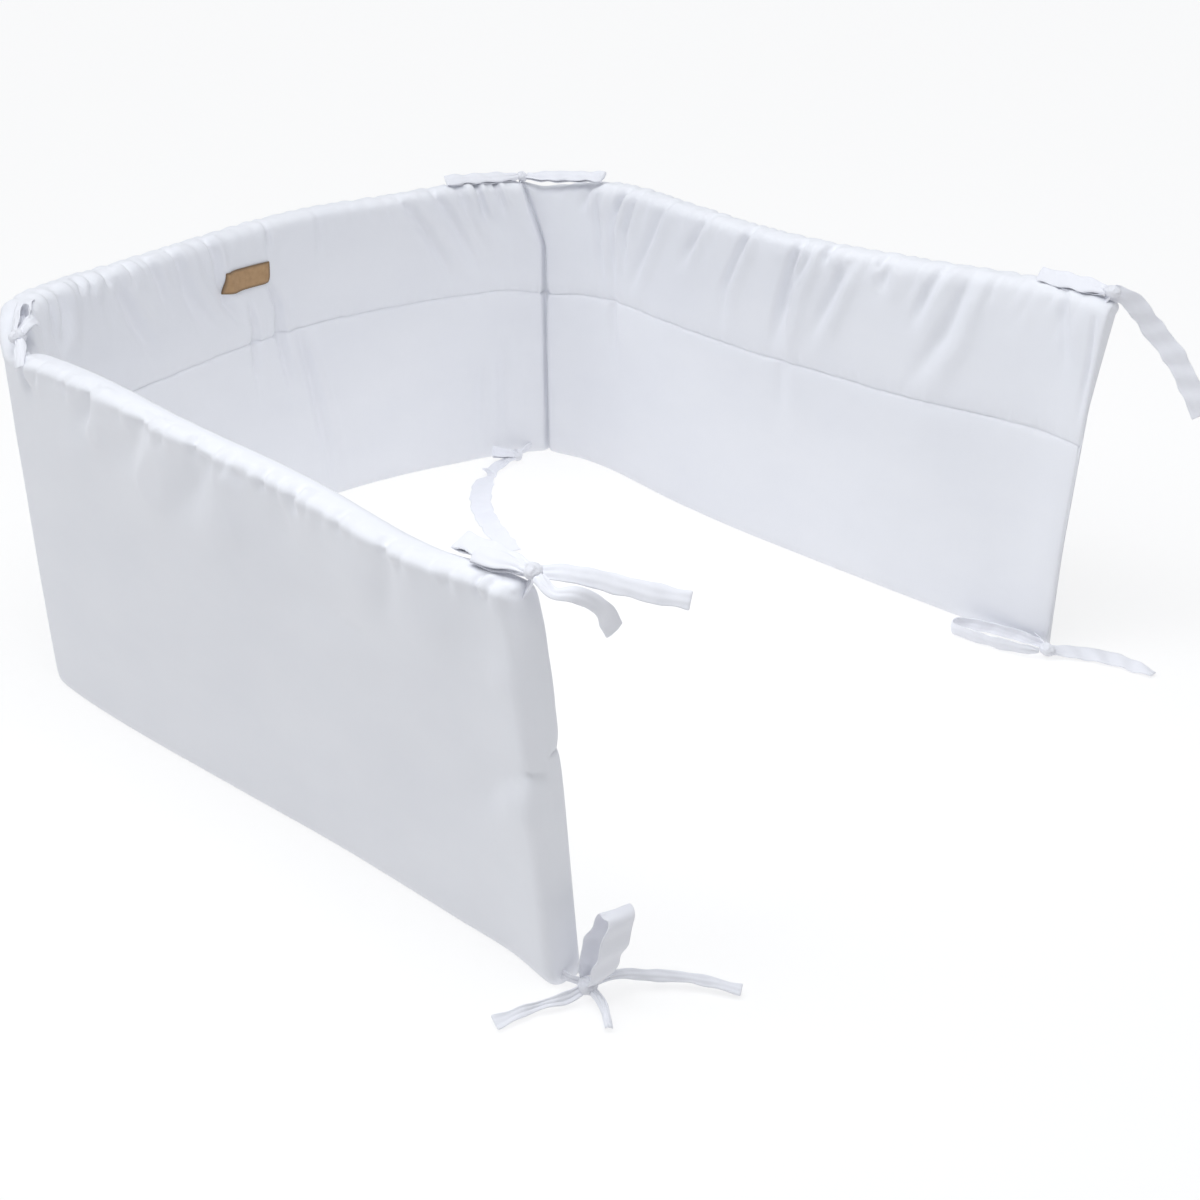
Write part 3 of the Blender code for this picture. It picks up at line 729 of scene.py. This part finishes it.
inside_gathers = (
    top_gathers(575, 690, 12, 55, 1.7, -0.2)
    + top_gathers(690, 870, 12, 58, 1.6, 0.35)
    + top_gathers(870, 1040, 20, 26, 1.1, 0.1)
    + top_gathers(1040, 1190, 12, 46, 1.6, 0.3)
    + top_gathers(1215, 1560, 12, 50, 1.7, -0.35)
    + top_gathers(1560, 1800, 12, 50, 1.5, -0.3)
)
outside_gathers = (
    top_gathers(14, 560, 21, 26, 1.9, 0.5)
    + top_gathers(560, 1200, 16, 30, 1.3, 0.1)
    + top_gathers(1200, 1800, 15, 30, 1.4, -0.2)
)
small = press(inside_gathers + seam_puckers(10, LENGTH - 10), cot_side, 1.0)
small += press(outside_gathers, outside, -1.0)
seam_off = Z - SEAM_HIGH - SEAM_WANDER * np.sin(S / 7.0) - SEAM_WANDER * np.sin(S / 19.0 + 1.0)
small += cot_side * (THREAD_DEPTH * np.exp(-(seam_off / THREAD_HALF) ** 2)
                     + DIP_DEPTH * np.exp(-(seam_off / DIP_HALF) ** 2))
small -= outside * TURN_RIDGE * np.exp(-((Z - TURN_AT) / TURN_HALF) ** 2)
push(pad.data, small)
print("Small gathers:", len(inside_gathers) + len(outside_gathers))

# %% [markdown]
# ## White cotton
# The cover is a closely woven white cotton. Its white is a touch cool, it scatters light
# softly, and only the closest look shows the threads. The weave is two waves that cross, on
# the cloth's own UV map. Stretched noise gives slubs and the faint rumples of a cover that
# has been washed.

# %% Make the cotton
def node(tree, kind, **values):
    made = tree.nodes.new(kind)
    for key, value in values.items():
        if hasattr(made, key):
            setattr(made, key, value)
        else:
            made.inputs[key.replace("_", " ")].default_value = value
    return made


def link(tree, source, target, output=0, into=0):
    tree.links.new(source.outputs[output], target.inputs[into])


def new_material(name, **sockets):
    """A material's node tree and shader, with the shader's even values."""
    material = bpy.data.materials.new(name)
    material.use_nodes = True
    shader = material.node_tree.nodes["Principled BSDF"]
    for socket, value in sockets.items():
        shader.inputs[socket.replace("_", " ")].default_value = value
    return material, material.node_tree, shader


def ramp(tree, stops):
    """A colour ramp from its stops: each a place and a colour."""
    made = node(tree, "ShaderNodeValToRGB")
    elements = made.color_ramp.elements
    for element, (at, colour) in zip(elements, (stops[0], stops[-1])):
        element.position, element.color = at, (*colour, 1.0)
    for at, colour in stops[1:-1]:
        elements.new(at).color = (*colour, 1.0)
    return made


def bump(tree, height, strength, distance, before=None):
    made = node(tree, "ShaderNodeBump", Strength=strength, Distance=distance)
    link(tree, height, made, into="Height")
    if before:
        link(tree, before, made, into="Normal")
    return made


THREAD_WAVE = 0.314


def weave(tree, cloth, pitch):
    """Two crossed waves, one thread a pitch."""
    cross = node(tree, "ShaderNodeMath", operation="MULTIPLY")
    for slot, direction in enumerate("XY"):
        wave = node(tree, "ShaderNodeTexWave", bands_direction=direction,
                    Scale=THREAD_WAVE / pitch, Distortion=1.2, Detail_Scale=1.5)
        link(tree, cloth, wave, output="UV", into="Vector")
        link(tree, wave, cross, output="Fac", into=slot)
    return cross


def stretched_noise(tree, cloth, scale, stretch, detail):
    mapping = node(tree, "ShaderNodeMapping", Scale=stretch)
    link(tree, cloth, mapping, output="UV", into="Vector")
    noise = node(tree, "ShaderNodeTexNoise", Scale=scale, Detail=detail, Roughness=0.55)
    link(tree, mapping, noise, into="Vector")
    return noise


def cotton(name, light, shade, pitch):
    material, tree, shader = new_material(name, Roughness=0.88, Sheen_Weight=0.18,
                                          Sheen_Roughness=0.45, Specular_IOR_Level=0.28)
    cloth = node(tree, "ShaderNodeUVMap", uv_map="cloth")
    tone = stretched_noise(tree, cloth, 9.0, (1.0, 1.6, 1.0), 3.0)
    colours = ramp(tree, [(0.30, shade), (0.70, light)])
    link(tree, tone, colours, output="Fac", into="Fac")
    link(tree, colours, shader, into="Base Color")
    threads = weave(tree, cloth, pitch)
    slubs = stretched_noise(tree, cloth, 130.0, (0.35, 5.0, 1.0), 2.0)
    rumple = stretched_noise(tree, cloth, 26.0, (1.5, 0.55, 1.0), 4.0)
    fine = bump(tree, threads, 0.22, 0.00022)
    fine = bump(tree, slubs, 0.16, 0.0003, fine)
    rumpled = bump(tree, rumple, 0.30, 0.0022, fine)
    link(tree, rumpled, shader, into="Normal")
    return material


cover_cotton = cotton("white_cotton", (0.872, 0.882, 0.925), (0.845, 0.857, 0.905), 0.0007)
tape_cotton = cotton("cotton_tape", (0.87, 0.876, 0.925), (0.835, 0.843, 0.895), 0.0006)
pad.data.materials.clear()
pad.data.materials.append(cover_cotton)
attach(pad, "root")
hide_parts("bumper_pad")
print("Materials:", bpy.data.materials.keys())

# %% [markdown]
# ## The tapes
# Each corner is tied with a bow of cotton tape, twenty millimetres wide where it lies open
# and gathered where it goes into the knot. A strip of tape is a flat grid that follows a row
# of places, with the direction of its width at each. The tables hold the loops and the free
# ends of all eight bows.

# %% Tables of the bows
GATHER_OVER = 24.0
GATHER = 0.42
LOOP_START = 0.08
KNOTS = {
    # bow: middle, then half sizes
    "tie_front_top": (-2, -565, 296.5, 8, 7, 6.0),
    "tie_front_bottom": (1, -602, 9, 9, 8, 7),
    "tie_left_top": (1, -31, 306, 9, 7, 7),
    "tie_left_bottom": (44, -52, 9, 8, 8, 7),
    "tie_back_top": (604, 24, 297, 7, 7, 5.5),
    "tie_back_bottom": (566, 4, 9, 8, 7, 7),
    "tie_right_top": (624, -605, 311.5, 7, 8, 5.5),
    "tie_right_bottom": (575, -618, 8, 7, 8, 6.5),
}
LOOPS = [
    # bow,                 x,    y,   z,    wx,    wy,   wz, width, open
    ("tie_front_top", 1, -502, 294.5, 0.95, 0.0, 0.3, 15, 1.2),
    ("tie_front_top", -8, -524, 295.5, 0.85, 0.0, 0.4, 13, 1.3),
    ("tie_front_bottom", 14, -616, 68, 0.95, -0.3, 0.0, 21, 8.0),
    ("tie_left_top", 39, 17, 313, 0.7, -0.7, 0.1, 13, 1.6),
    ("tie_left_top", 21, -10, 317, 0.4, -0.4, 0.8, 12, 3.2),
    ("tie_left_bottom", 84, -46, 9, 0.1, 0.2, 1.0, 14, 7.0),
    ("tie_back_top", 530, 57, 301.5, 0.25, 0.8, 0.5, 13, 1.1),
    ("tie_back_top", 632, -60, 305.5, 0.8, 0.0, 0.5, 13, 1.1),
    ("tie_back_bottom", 545, 20, 15, 0.7, 0.7, 0.25, 19, 1.2),
    ("tie_right_top", 630, -538, 309.5, 0.8, 0.1, 0.5, 16, 1.0),
    ("tie_right_bottom", 561, -535, 7, 0.0, 0.0, 1.0, 11, 11.0),
]
ENDS = [
    ("tie_front_top", [
        (9, -583, 297, 0.75, 0.3, 0.45, 12),
        (24, -606, 292, 0.6, 0.25, 0.7, 12),
        (33, -626, 290, 0.55, 0.2, 0.75, 12),
        (41, -645, 289, 0.5, 0.2, 0.8, 11),
    ]),
    ("tie_front_top", [
        (-7, -586, 292, 0.9, 0.0, 0.2, 9),
        (1, -595, 291, 0.9, -0.2, 0.4, 10),
        (13, -602, 281, 0.7, -0.2, 0.7, 11),
        (24, -603, 261, 0.8, -0.2, 0.5, 14),
    ]),
    ("tie_front_bottom", [
        (17, -613, 14, 0.5, 0.5, 0.6, 6),
        (32, -624, 10, 0.4, 0.4, 0.8, 8),
        (51, -647, 8, 0.6, 0.5, 0.6, 7),
        (66, -676, 5, 0.8, 0.5, 0.3, 8),
    ]),
    ("tie_front_bottom", [
        (-12, -600, 8, 0.3, 0.6, 0.7, 8),
        (-33, -588, 6, 0.4, 0.8, 0.5, 6),
        (-59, -577, 4, 0.3, 0.9, 0.1, 12),
    ]),
    ("tie_front_bottom", [
        (-3, -618, 6, 1.0, 0.0, 0.3, 6),
        (-15, -634, 3.5, 1.0, -0.4, 0.1, 5),
    ]),
    ("tie_left_top", [
        (-4, -42, 304, 0.9, 0.1, 0.2, 8),
        (-12, -53, 301, 0.9, 0.1, 0.4, 9),
        (-19, -62, 294, 0.6, 0.1, 0.8, 9),
    ]),
    ("tie_left_top", [
        (11, -30, 312, 0.3, 0.9, 0.1, 10),
        (23, -21, 311, 0.5, 0.8, 0.2, 13),
    ]),
    ("tie_left_bottom", [
        (52, -72, 5, 1.0, 0.2, 0.1, 14),
        (60, -104, 3, 1.0, 0.3, 0.0, 20),
        (64, -140, 2, 1.0, 0.1, 0.0, 20),
    ]),
    ("tie_left_bottom", [
        (64, -62, 5, 0.4, 1.0, 0.1, 14),
        (92, -76, 3, 0.4, 1.0, 0.0, 20),
        (122, -84, 2, 0.2, 1.0, 0.0, 20),
    ]),
    ("tie_back_bottom", [
        (545, 5, 7, 0.1, 1.0, 0.3, 10),
        (526, 3, 5, 0.3, 0.9, 0.2, 15),
        (503, -9, 4, 0.6, -0.8, 0.1, 21),
        (459, -49, 3, 0.7, -0.7, 0.0, 22),
        (410, -138, 2, 0.9, -0.4, 0.0, 22),
    ]),
    ("tie_right_top", [
        (634, -616, 305, -0.46, 0.43, -0.77, 15),
        (647, -634, 281, -0.3, 0.6, -0.6, 17),
        (652, -656, 258, -0.4, 0.7, -0.5, 17),
        (654, -683, 217, -0.4, 0.7, -0.4, 15),
    ]),
    ("tie_right_bottom", [
        (590, -634, 5, 0.9, 0.3, 0.3, 14),
        (604, -660, 3.5, 0.9, 0.4, 0.1, 19),
        (606, -680, 3.5, 0.9, 0.2, 0.2, 15),
        (605, -702, 3, 0.9, 0.1, 0.1, 9),
    ]),
]
ROOTS = {
    # bow: where its tape is sewn to the pad, and the width there
    "tie_front_top": (-6, -558, 276, 8),
    "tie_front_bottom": (-4, -580, 10, 7),
    "tie_left_top": (6, -28, 284, 9),
    "tie_left_bottom": (17, -46, 10, 7),
    "tie_back_top": (598, 26, 283, 6),
    "tie_back_bottom": (594, 10, 10, 7),
    "tie_right_top": (620, -596, 292, 8),
    "tie_right_bottom": (588, -598, 9, 7),
}
print("Loops:", len(LOOPS), "free ends:", len(ENDS))

# %% [markdown]
# ## Rows for one strip
# A loop is a teardrop that leaves the knot and comes back to it. A free end is a smooth run
# through its rows. A root goes straight from the knot into the pad. Every strip ends up as
# rows of place, direction of the width and width, three millimetres apart.

# %% Work out the rows
STRIP_STEP = 3.0


def gathered(width, run):
    return width * (GATHER + (1.0 - GATHER) * min(1.0, run / GATHER_OVER))


def loop_rows(knot, tip, wide, width, half_open):
    root = Vector(knot)
    wide = Vector(wide).normalized()
    reach = Vector(tip) - root
    across = reach.cross(wide).normalized()
    steps = 2 * round(reach.length / STRIP_STEP)
    rows = []
    for k in range(steps + 1):
        u = LOOP_START + (1.0 - 2.0 * LOOP_START) * k / steps
        share = 0.5 - 0.5 * cos(2.0 * pi * u)
        bow = copysign(abs(sin(2.0 * pi * u)) ** (1.0 - 0.5 * share), 0.5 - u)
        spot = root + reach * share + across * (half_open * bow)
        rows.append((*spot, *wide, gathered(width, share * reach.length)))
    return rows


def end_rows(knot, rows):
    start = (*knot, *rows[0][3:6], rows[0][6] * 0.8)
    through = [start] + rows
    lengths = running_lengths(through, 3)
    steps = round(lengths[-1] / STRIP_STEP)
    return [hermite(through, lengths, lengths[-1] * k / steps) for k in range(steps + 1)]


def root_rows(knot, target):
    start, end = Vector(knot), Vector(target[:3])
    ray = (end - start).normalized()
    wide = Vector((0.0, 0.0, 1.0)) if abs(ray.z) < 0.7 else Vector((0.7, 0.7, 0.0))
    wide = (wide - ray * wide.dot(ray)).normalized()
    steps = max(3, round((end - start).length / STRIP_STEP))
    return [(*start.lerp(end, k / steps), *wide, target[3]) for k in range(steps + 1)]


def strips_of(name):
    knot = KNOTS[name][:3]
    strips = [loop_rows(knot, row[1:4], row[4:7], *row[7:]) for row in LOOPS if row[0] == name]
    strips += [end_rows(knot, rows) for owner, rows in ENDS if owner == name]
    strips.append(root_rows(knot, ROOTS[name]))
    return strips


print("Rows in the first bow:", sum(len(rows) for rows in strips_of("tie_front_top")))

# %% [markdown]
# ## From rows to tape
# The tape is a sewn tube of cotton pressed flat, so its middle stands a little proud of its
# edges. Near the knot it falls into pleats, which fade along the tape, and its edges waver.
# One grid serves each strip: its long edges follow the rows, and its points across take the
# curl and the pleats. Solidify gives it the thickness of the folded cloth.

# %% Build the tapes
TAPE_THICK = 1.1
TAPE_ACROSS = 8
TAPE_WIDTH = 20.0
CURL = 0.9
PLEAT = 1.5
NEAR_KNOT = 20.0
CRUMPLE = 0.75
TWIST = 0.3
EDGE_WAVER, FINE_WAVER = 0.07, 0.04
LOWEST = 0.8 * MM


def lay_strip(bm, rows, seed):
    """One grid of tape through the rows, added to bm."""
    steps = len(rows) - 1
    made = bmesh.ops.create_grid(bm, x_segments=steps, y_segments=TAPE_ACROSS, size=0.5)
    cloth = bm.loops.layers.uv["cloth"]
    lengths = running_lengths(rows, 3)
    spots = {}
    for vert in made["verts"]:
        i = round((vert.co.x + 0.5) * steps)
        t = vert.co.y
        here = Vector(rows[i][:3])
        along = (Vector(rows[min(i + 1, steps)][:3]) - Vector(rows[max(i - 1, 0)][:3])).normalized()
        wide = Vector(rows[i][3:6])
        wide = (wide - along * wide.dot(along)).normalized()
        face = along.cross(wide)
        gather = max(0.0, 1.0 - rows[i][6] / TAPE_WIDTH)
        run = lengths[i]
        width = rows[i][6] * (1.0 + EDGE_WAVER * sin(run / 4.1 + seed)
                              + FINE_WAVER * sin(run / 2.3 + t))
        lift = CURL * (1.0 + 2.0 * gather) * (0.25 - t * t) * 2.0
        near = exp(-((here - Vector(rows[0][:3])).length / NEAR_KNOT) ** 2)
        pleat = PLEAT * gather * (0.4 + 0.6 * near)
        lift += pleat * sin(5.0 * pi * t + seed + 0.8 * sin(run / 9.0))
        lift += CRUMPLE * sin(run / 3.4 + seed + 2.6 * t) + TWIST * sin(run / 6.0 + seed) * t
        spots[vert] = (run, t * width)
        vert.co = (here + wide * (width * t) + face * lift - Vector((*ORIGIN, 0.0))) * MM
        vert.co.z = max(vert.co.z, LOWEST)
    for face in {f for v in made["verts"] for f in v.link_faces}:
        for loop in face.loops:
            run, over = spots[loop.vert]
            loop[cloth].uv = (over * MM, run * MM)
    return lengths[-1] * sum(row[6] for row in rows) / len(rows)


def thicken(obj, thickness):
    wall = obj.modifiers.new("thickness", "SOLIDIFY")
    wall.thickness = thickness * MM
    wall.offset = 0.0


def tape_piece(name):
    """All the tape of one bow, and its area laid flat."""
    bm = bmesh.new()
    bm.loops.layers.uv.new("cloth")
    area = sum(lay_strip(bm, rows, 1.7 * k) for k, rows in enumerate(strips_of(name)))
    obj = new_piece(name + "_tape", bm)
    thicken(obj, TAPE_THICK)
    smooth = obj.modifiers.new("smooth", "SUBSURF")
    smooth.levels = smooth.render_levels = 1
    obj.data.materials.append(tape_cotton)
    return obj, area


print("Tape in mm:", TAPE_WIDTH, "wide,", TAPE_THICK, "thick")

# %% [markdown]
# ## The knots
# A knot is the same tape wrapped once round the rest. A ball that is drawn in at its middle
# and creased along its length makes the bundle, and a ring of tape goes round the waist.

# %% Build the knots
KNOT_SIZE = 0.82
WAIST, WAIST_HALF = 0.26, 0.28
BAND, BAND_HALF = 0.34, 0.30
CREASE = 0.17
KNOT_FOOT = 0.6


def knot_piece(name):
    x, y, z, half_x, half_y, half_z = KNOTS[name]
    bm = bmesh.new()
    bm.loops.layers.uv.new("cloth")
    bmesh.ops.create_uvsphere(bm, u_segments=40, v_segments=24, radius=1.0, calc_uvs=True)
    for vert in bm.verts:
        turn = np.arctan2(vert.co.z, vert.co.y)
        waist = 1.0 - WAIST * exp(-(vert.co.x / WAIST_HALF) ** 2)
        band = BAND * exp(-(vert.co.x / BAND_HALF) ** 8)
        creased = 1.0 - CREASE * abs(sin(3.5 * turn + 2.0 * vert.co.x)) * (1.0 - 2.0 * band)
        round_off = waist * creased + band
        vert.co = Vector((x + vert.co.x * half_x * KNOT_SIZE - ORIGIN[0],
                          y + vert.co.y * half_y * KNOT_SIZE * round_off - ORIGIN[1],
                          max(KNOT_FOOT, z + vert.co.z * half_z * KNOT_SIZE * round_off))) * MM
    obj = new_piece(name + "_knot", bm)
    obj.data.materials.append(tape_cotton)
    return obj


for name in KNOTS:
    tape, area = tape_piece(name)
    knot = knot_piece(name)
    for piece in (tape, knot):
        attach(piece, "root")
    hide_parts(name)
    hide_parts(name)

# %% [markdown]
# ## The patch
# A small piece of brown hide is sewn to the cot side. It lies on the cloth, so its grid is
# cast onto the cover itself, point by point, and then thickened. It stays bare.

# %% Lay the patch on the cover
PATCH_AT = (883.0, 249.0)
PATCH_SIZE = (56.0, 21.5)
PATCH_TILT = radians(-3.0)
PATCH_THICK = 1.3
PATCH_GRID = (28, 12)
PATCH_OFF_CLOTH = 0.3


def patch_point(tree, u, v):
    s = PATCH_AT[0] + u * cos(PATCH_TILT) - v * sin(PATCH_TILT)
    z = PATCH_AT[1] + u * sin(PATCH_TILT) + v * cos(PATCH_TILT)
    middle = place(s, z / section(s)[4], 0.0)
    out = Vector((*outward(s), 0.0))
    hit = tree.ray_cast(middle - out * (3.0 * THICK * MM), out)[0]
    return hit - out * (0.5 * PATCH_THICK + PATCH_OFF_CLOTH) * MM


def patch_piece():
    bm = bmesh.new()
    cloth = bm.loops.layers.uv.new("cloth")
    bmesh.ops.create_grid(bm, x_segments=PATCH_GRID[0], y_segments=PATCH_GRID[1], size=0.5)
    cover_mesh = bmesh.new()
    cover_mesh.from_mesh(pad.data)
    tree = BVHTree.FromBMesh(cover_mesh)
    cover_mesh.free()
    for face in bm.faces:
        for loop in face.loops:
            loop[cloth].uv = (loop.vert.co.x + 0.5, loop.vert.co.y + 0.5)
    for vert in bm.verts:
        vert.co = patch_point(tree, vert.co.x * PATCH_SIZE[0], vert.co.y * PATCH_SIZE[1])
    bmesh.ops.smooth_vert(bm, verts=bm.verts, factor=0.5, use_axis_x=True, use_axis_y=True,
                          use_axis_z=True)
    obj = new_piece("bare_patch", bm)
    thicken(obj, PATCH_THICK)
    edge = obj.modifiers.new("edge", "BEVEL")
    edge.width = 0.3 * MM
    edge.segments = 2
    return obj


def reckon(tree, operation, first, *others, output=0):
    """A sum on a node and on numbers or other nodes."""
    made = node(tree, "ShaderNodeMath", operation=operation)
    link(tree, first, made, output=output)
    for slot, other in enumerate(others, 1):
        if isinstance(other, float):
            made.inputs[slot].default_value = other
        else:
            link(tree, other, made, into=slot)
    return made


def hide():
    """Tanned hide: warm brown, with painted shade darkening it along its edge."""
    material, tree, shader = new_material("brown_hide", Roughness=0.62, Specular_IOR_Level=0.35)
    cloth = node(tree, "ShaderNodeUVMap", uv_map="cloth")
    cloud = stretched_noise(tree, cloth, 3.2, (2.6, 1.0, 1.0), 4.0)
    colours = ramp(tree, [(0.25, (0.38, 0.235, 0.12)), (0.5, (0.445, 0.28, 0.147)),
                          (0.8, (0.50, 0.325, 0.18))])
    link(tree, cloud, colours, output="Fac", into="Fac")
    parts = node(tree, "ShaderNodeSeparateXYZ")
    link(tree, cloth, parts, output="UV", into="Vector")
    to_edge = []
    for axis, span in zip("XY", PATCH_SIZE):
        middle = reckon(tree, "SUBTRACT", parts, 0.5, output=axis)
        away = reckon(tree, "ABSOLUTE", middle)
        to_edge.append(reckon(tree, "MULTIPLY_ADD", away, -span, 0.5 * span))
    nearest = reckon(tree, "MINIMUM", *to_edge)
    # Painted shade: within three millimetres of the edge the brown darkens to a deep brown.
    edge_shade = node(tree, "ShaderNodeMapRange", From_Min=0.4, From_Max=3.0)
    link(tree, nearest, edge_shade, into="Value")
    mix = node(tree, "ShaderNodeMix", data_type="RGBA", A=(0.20, 0.13, 0.075, 1.0))
    link(tree, edge_shade, mix, into="Factor")
    link(tree, colours, mix, output="Color", into="B")
    link(tree, mix, shader, output="Result", into="Base Color")
    grain = stretched_noise(tree, cloth, 60.0, (2.6, 1.0, 1.0), 6.0)
    link(tree, bump(tree, grain, 0.35, 0.0002), shader, into="Normal")
    return material


patch = patch_piece()
patch.data.materials.append(hide())
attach(patch, "root")
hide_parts("label_patch")
print("Patch in mm:", PATCH_SIZE)

# %% [markdown]
# ## The floor
# The bumper stands on a plain white sheet that runs on far past the picture. A studio lights
# such a sheet until it is as white as what is behind it. Here it glows instead, which throws
# the same light back up at the cloth.

# %% Lay the floor
FLOOR_HALF = 60.0
FLOOR_CUTS = 21
FLOOR_WHITE = (0.31, 0.31, 0.312, 1.0)
FLOOR_GLOW = 0.69

paper = bmesh.new()
bmesh.ops.create_grid(paper, x_segments=FLOOR_CUTS, y_segments=FLOOR_CUTS, size=FLOOR_HALF)
floor = new_piece("floor", paper)
floor.data.materials.append(new_material(
    "white_paper", Base_Color=FLOOR_WHITE, Roughness=0.9, Emission_Color=(1.0, 1.0, 1.0, 1.0),
    Emission_Strength=FLOOR_GLOW)[0])
print("Floor in m:", 2 * FLOOR_HALF)

# %% [markdown]
# ## The lights
# Three broad suns stand in for big studio panels. The one overhead lights the top edges most,
# one from behind on the left lights the far panels, and a weak one from the front lifts the
# end faces. A soft panel hangs over the cot side, and a pale sky fills the rest. The colours
# are shown as they are, without a film curve, so that white stays white.

# %% Hang the lights
def hang(name, kind, power, colour):
    data = bpy.data.lights.new(name, kind)
    data.energy = power
    data.color = colour
    lamp = bpy.data.objects.new(name, data)
    bpy.context.scene.collection.objects.link(lamp)
    return lamp


def sun(name, power, spread, turn, colour):
    """A far light: spread is how wide it is, turn tips it from overhead, in degrees."""
    lamp = hang(name, "SUN", power, colour)
    lamp.data.angle = radians(spread)
    lamp.rotation_euler = [radians(part) for part in turn]


def panel(name, at, towards, size, power, colour):
    """A square panel that hangs at one place and faces another."""
    lamp = hang(name, "AREA", power, colour)
    lamp.data.shape = "SQUARE"
    lamp.data.size = size
    lamp.location = at
    lamp.rotation_euler = (Vector(towards) - Vector(at)).to_track_quat("-Z", "Y").to_euler()


sun("overhead", 1.66, 70.0, (0.0, 0.0, 0.0), (0.98, 0.99, 1.0))
sun("from_the_side", 0.70, 40.0, (-35.0, -40.0, 0.0), (0.97, 0.985, 1.0))
sun("from_the_front", 0.24, 40.0, (55.0, 0.0, 0.0), (1.0, 1.0, 1.0))
panel("cot_side", (-0.26, -0.15, 1.1), (0.30, 0.05, 0.2), 0.7, 3.1, (0.96, 0.98, 1.0))
world = bpy.data.worlds.new("pale_sky")
world.use_nodes = True
sky = world.node_tree.nodes["Background"].inputs
sky["Color"].default_value = (0.84, 0.91, 1.0, 1.0)
sky["Strength"].default_value = 0.11
bpy.context.scene.world = world
bpy.context.scene.view_settings.view_transform = "Standard"
print("Lights:", bpy.data.lights.keys())
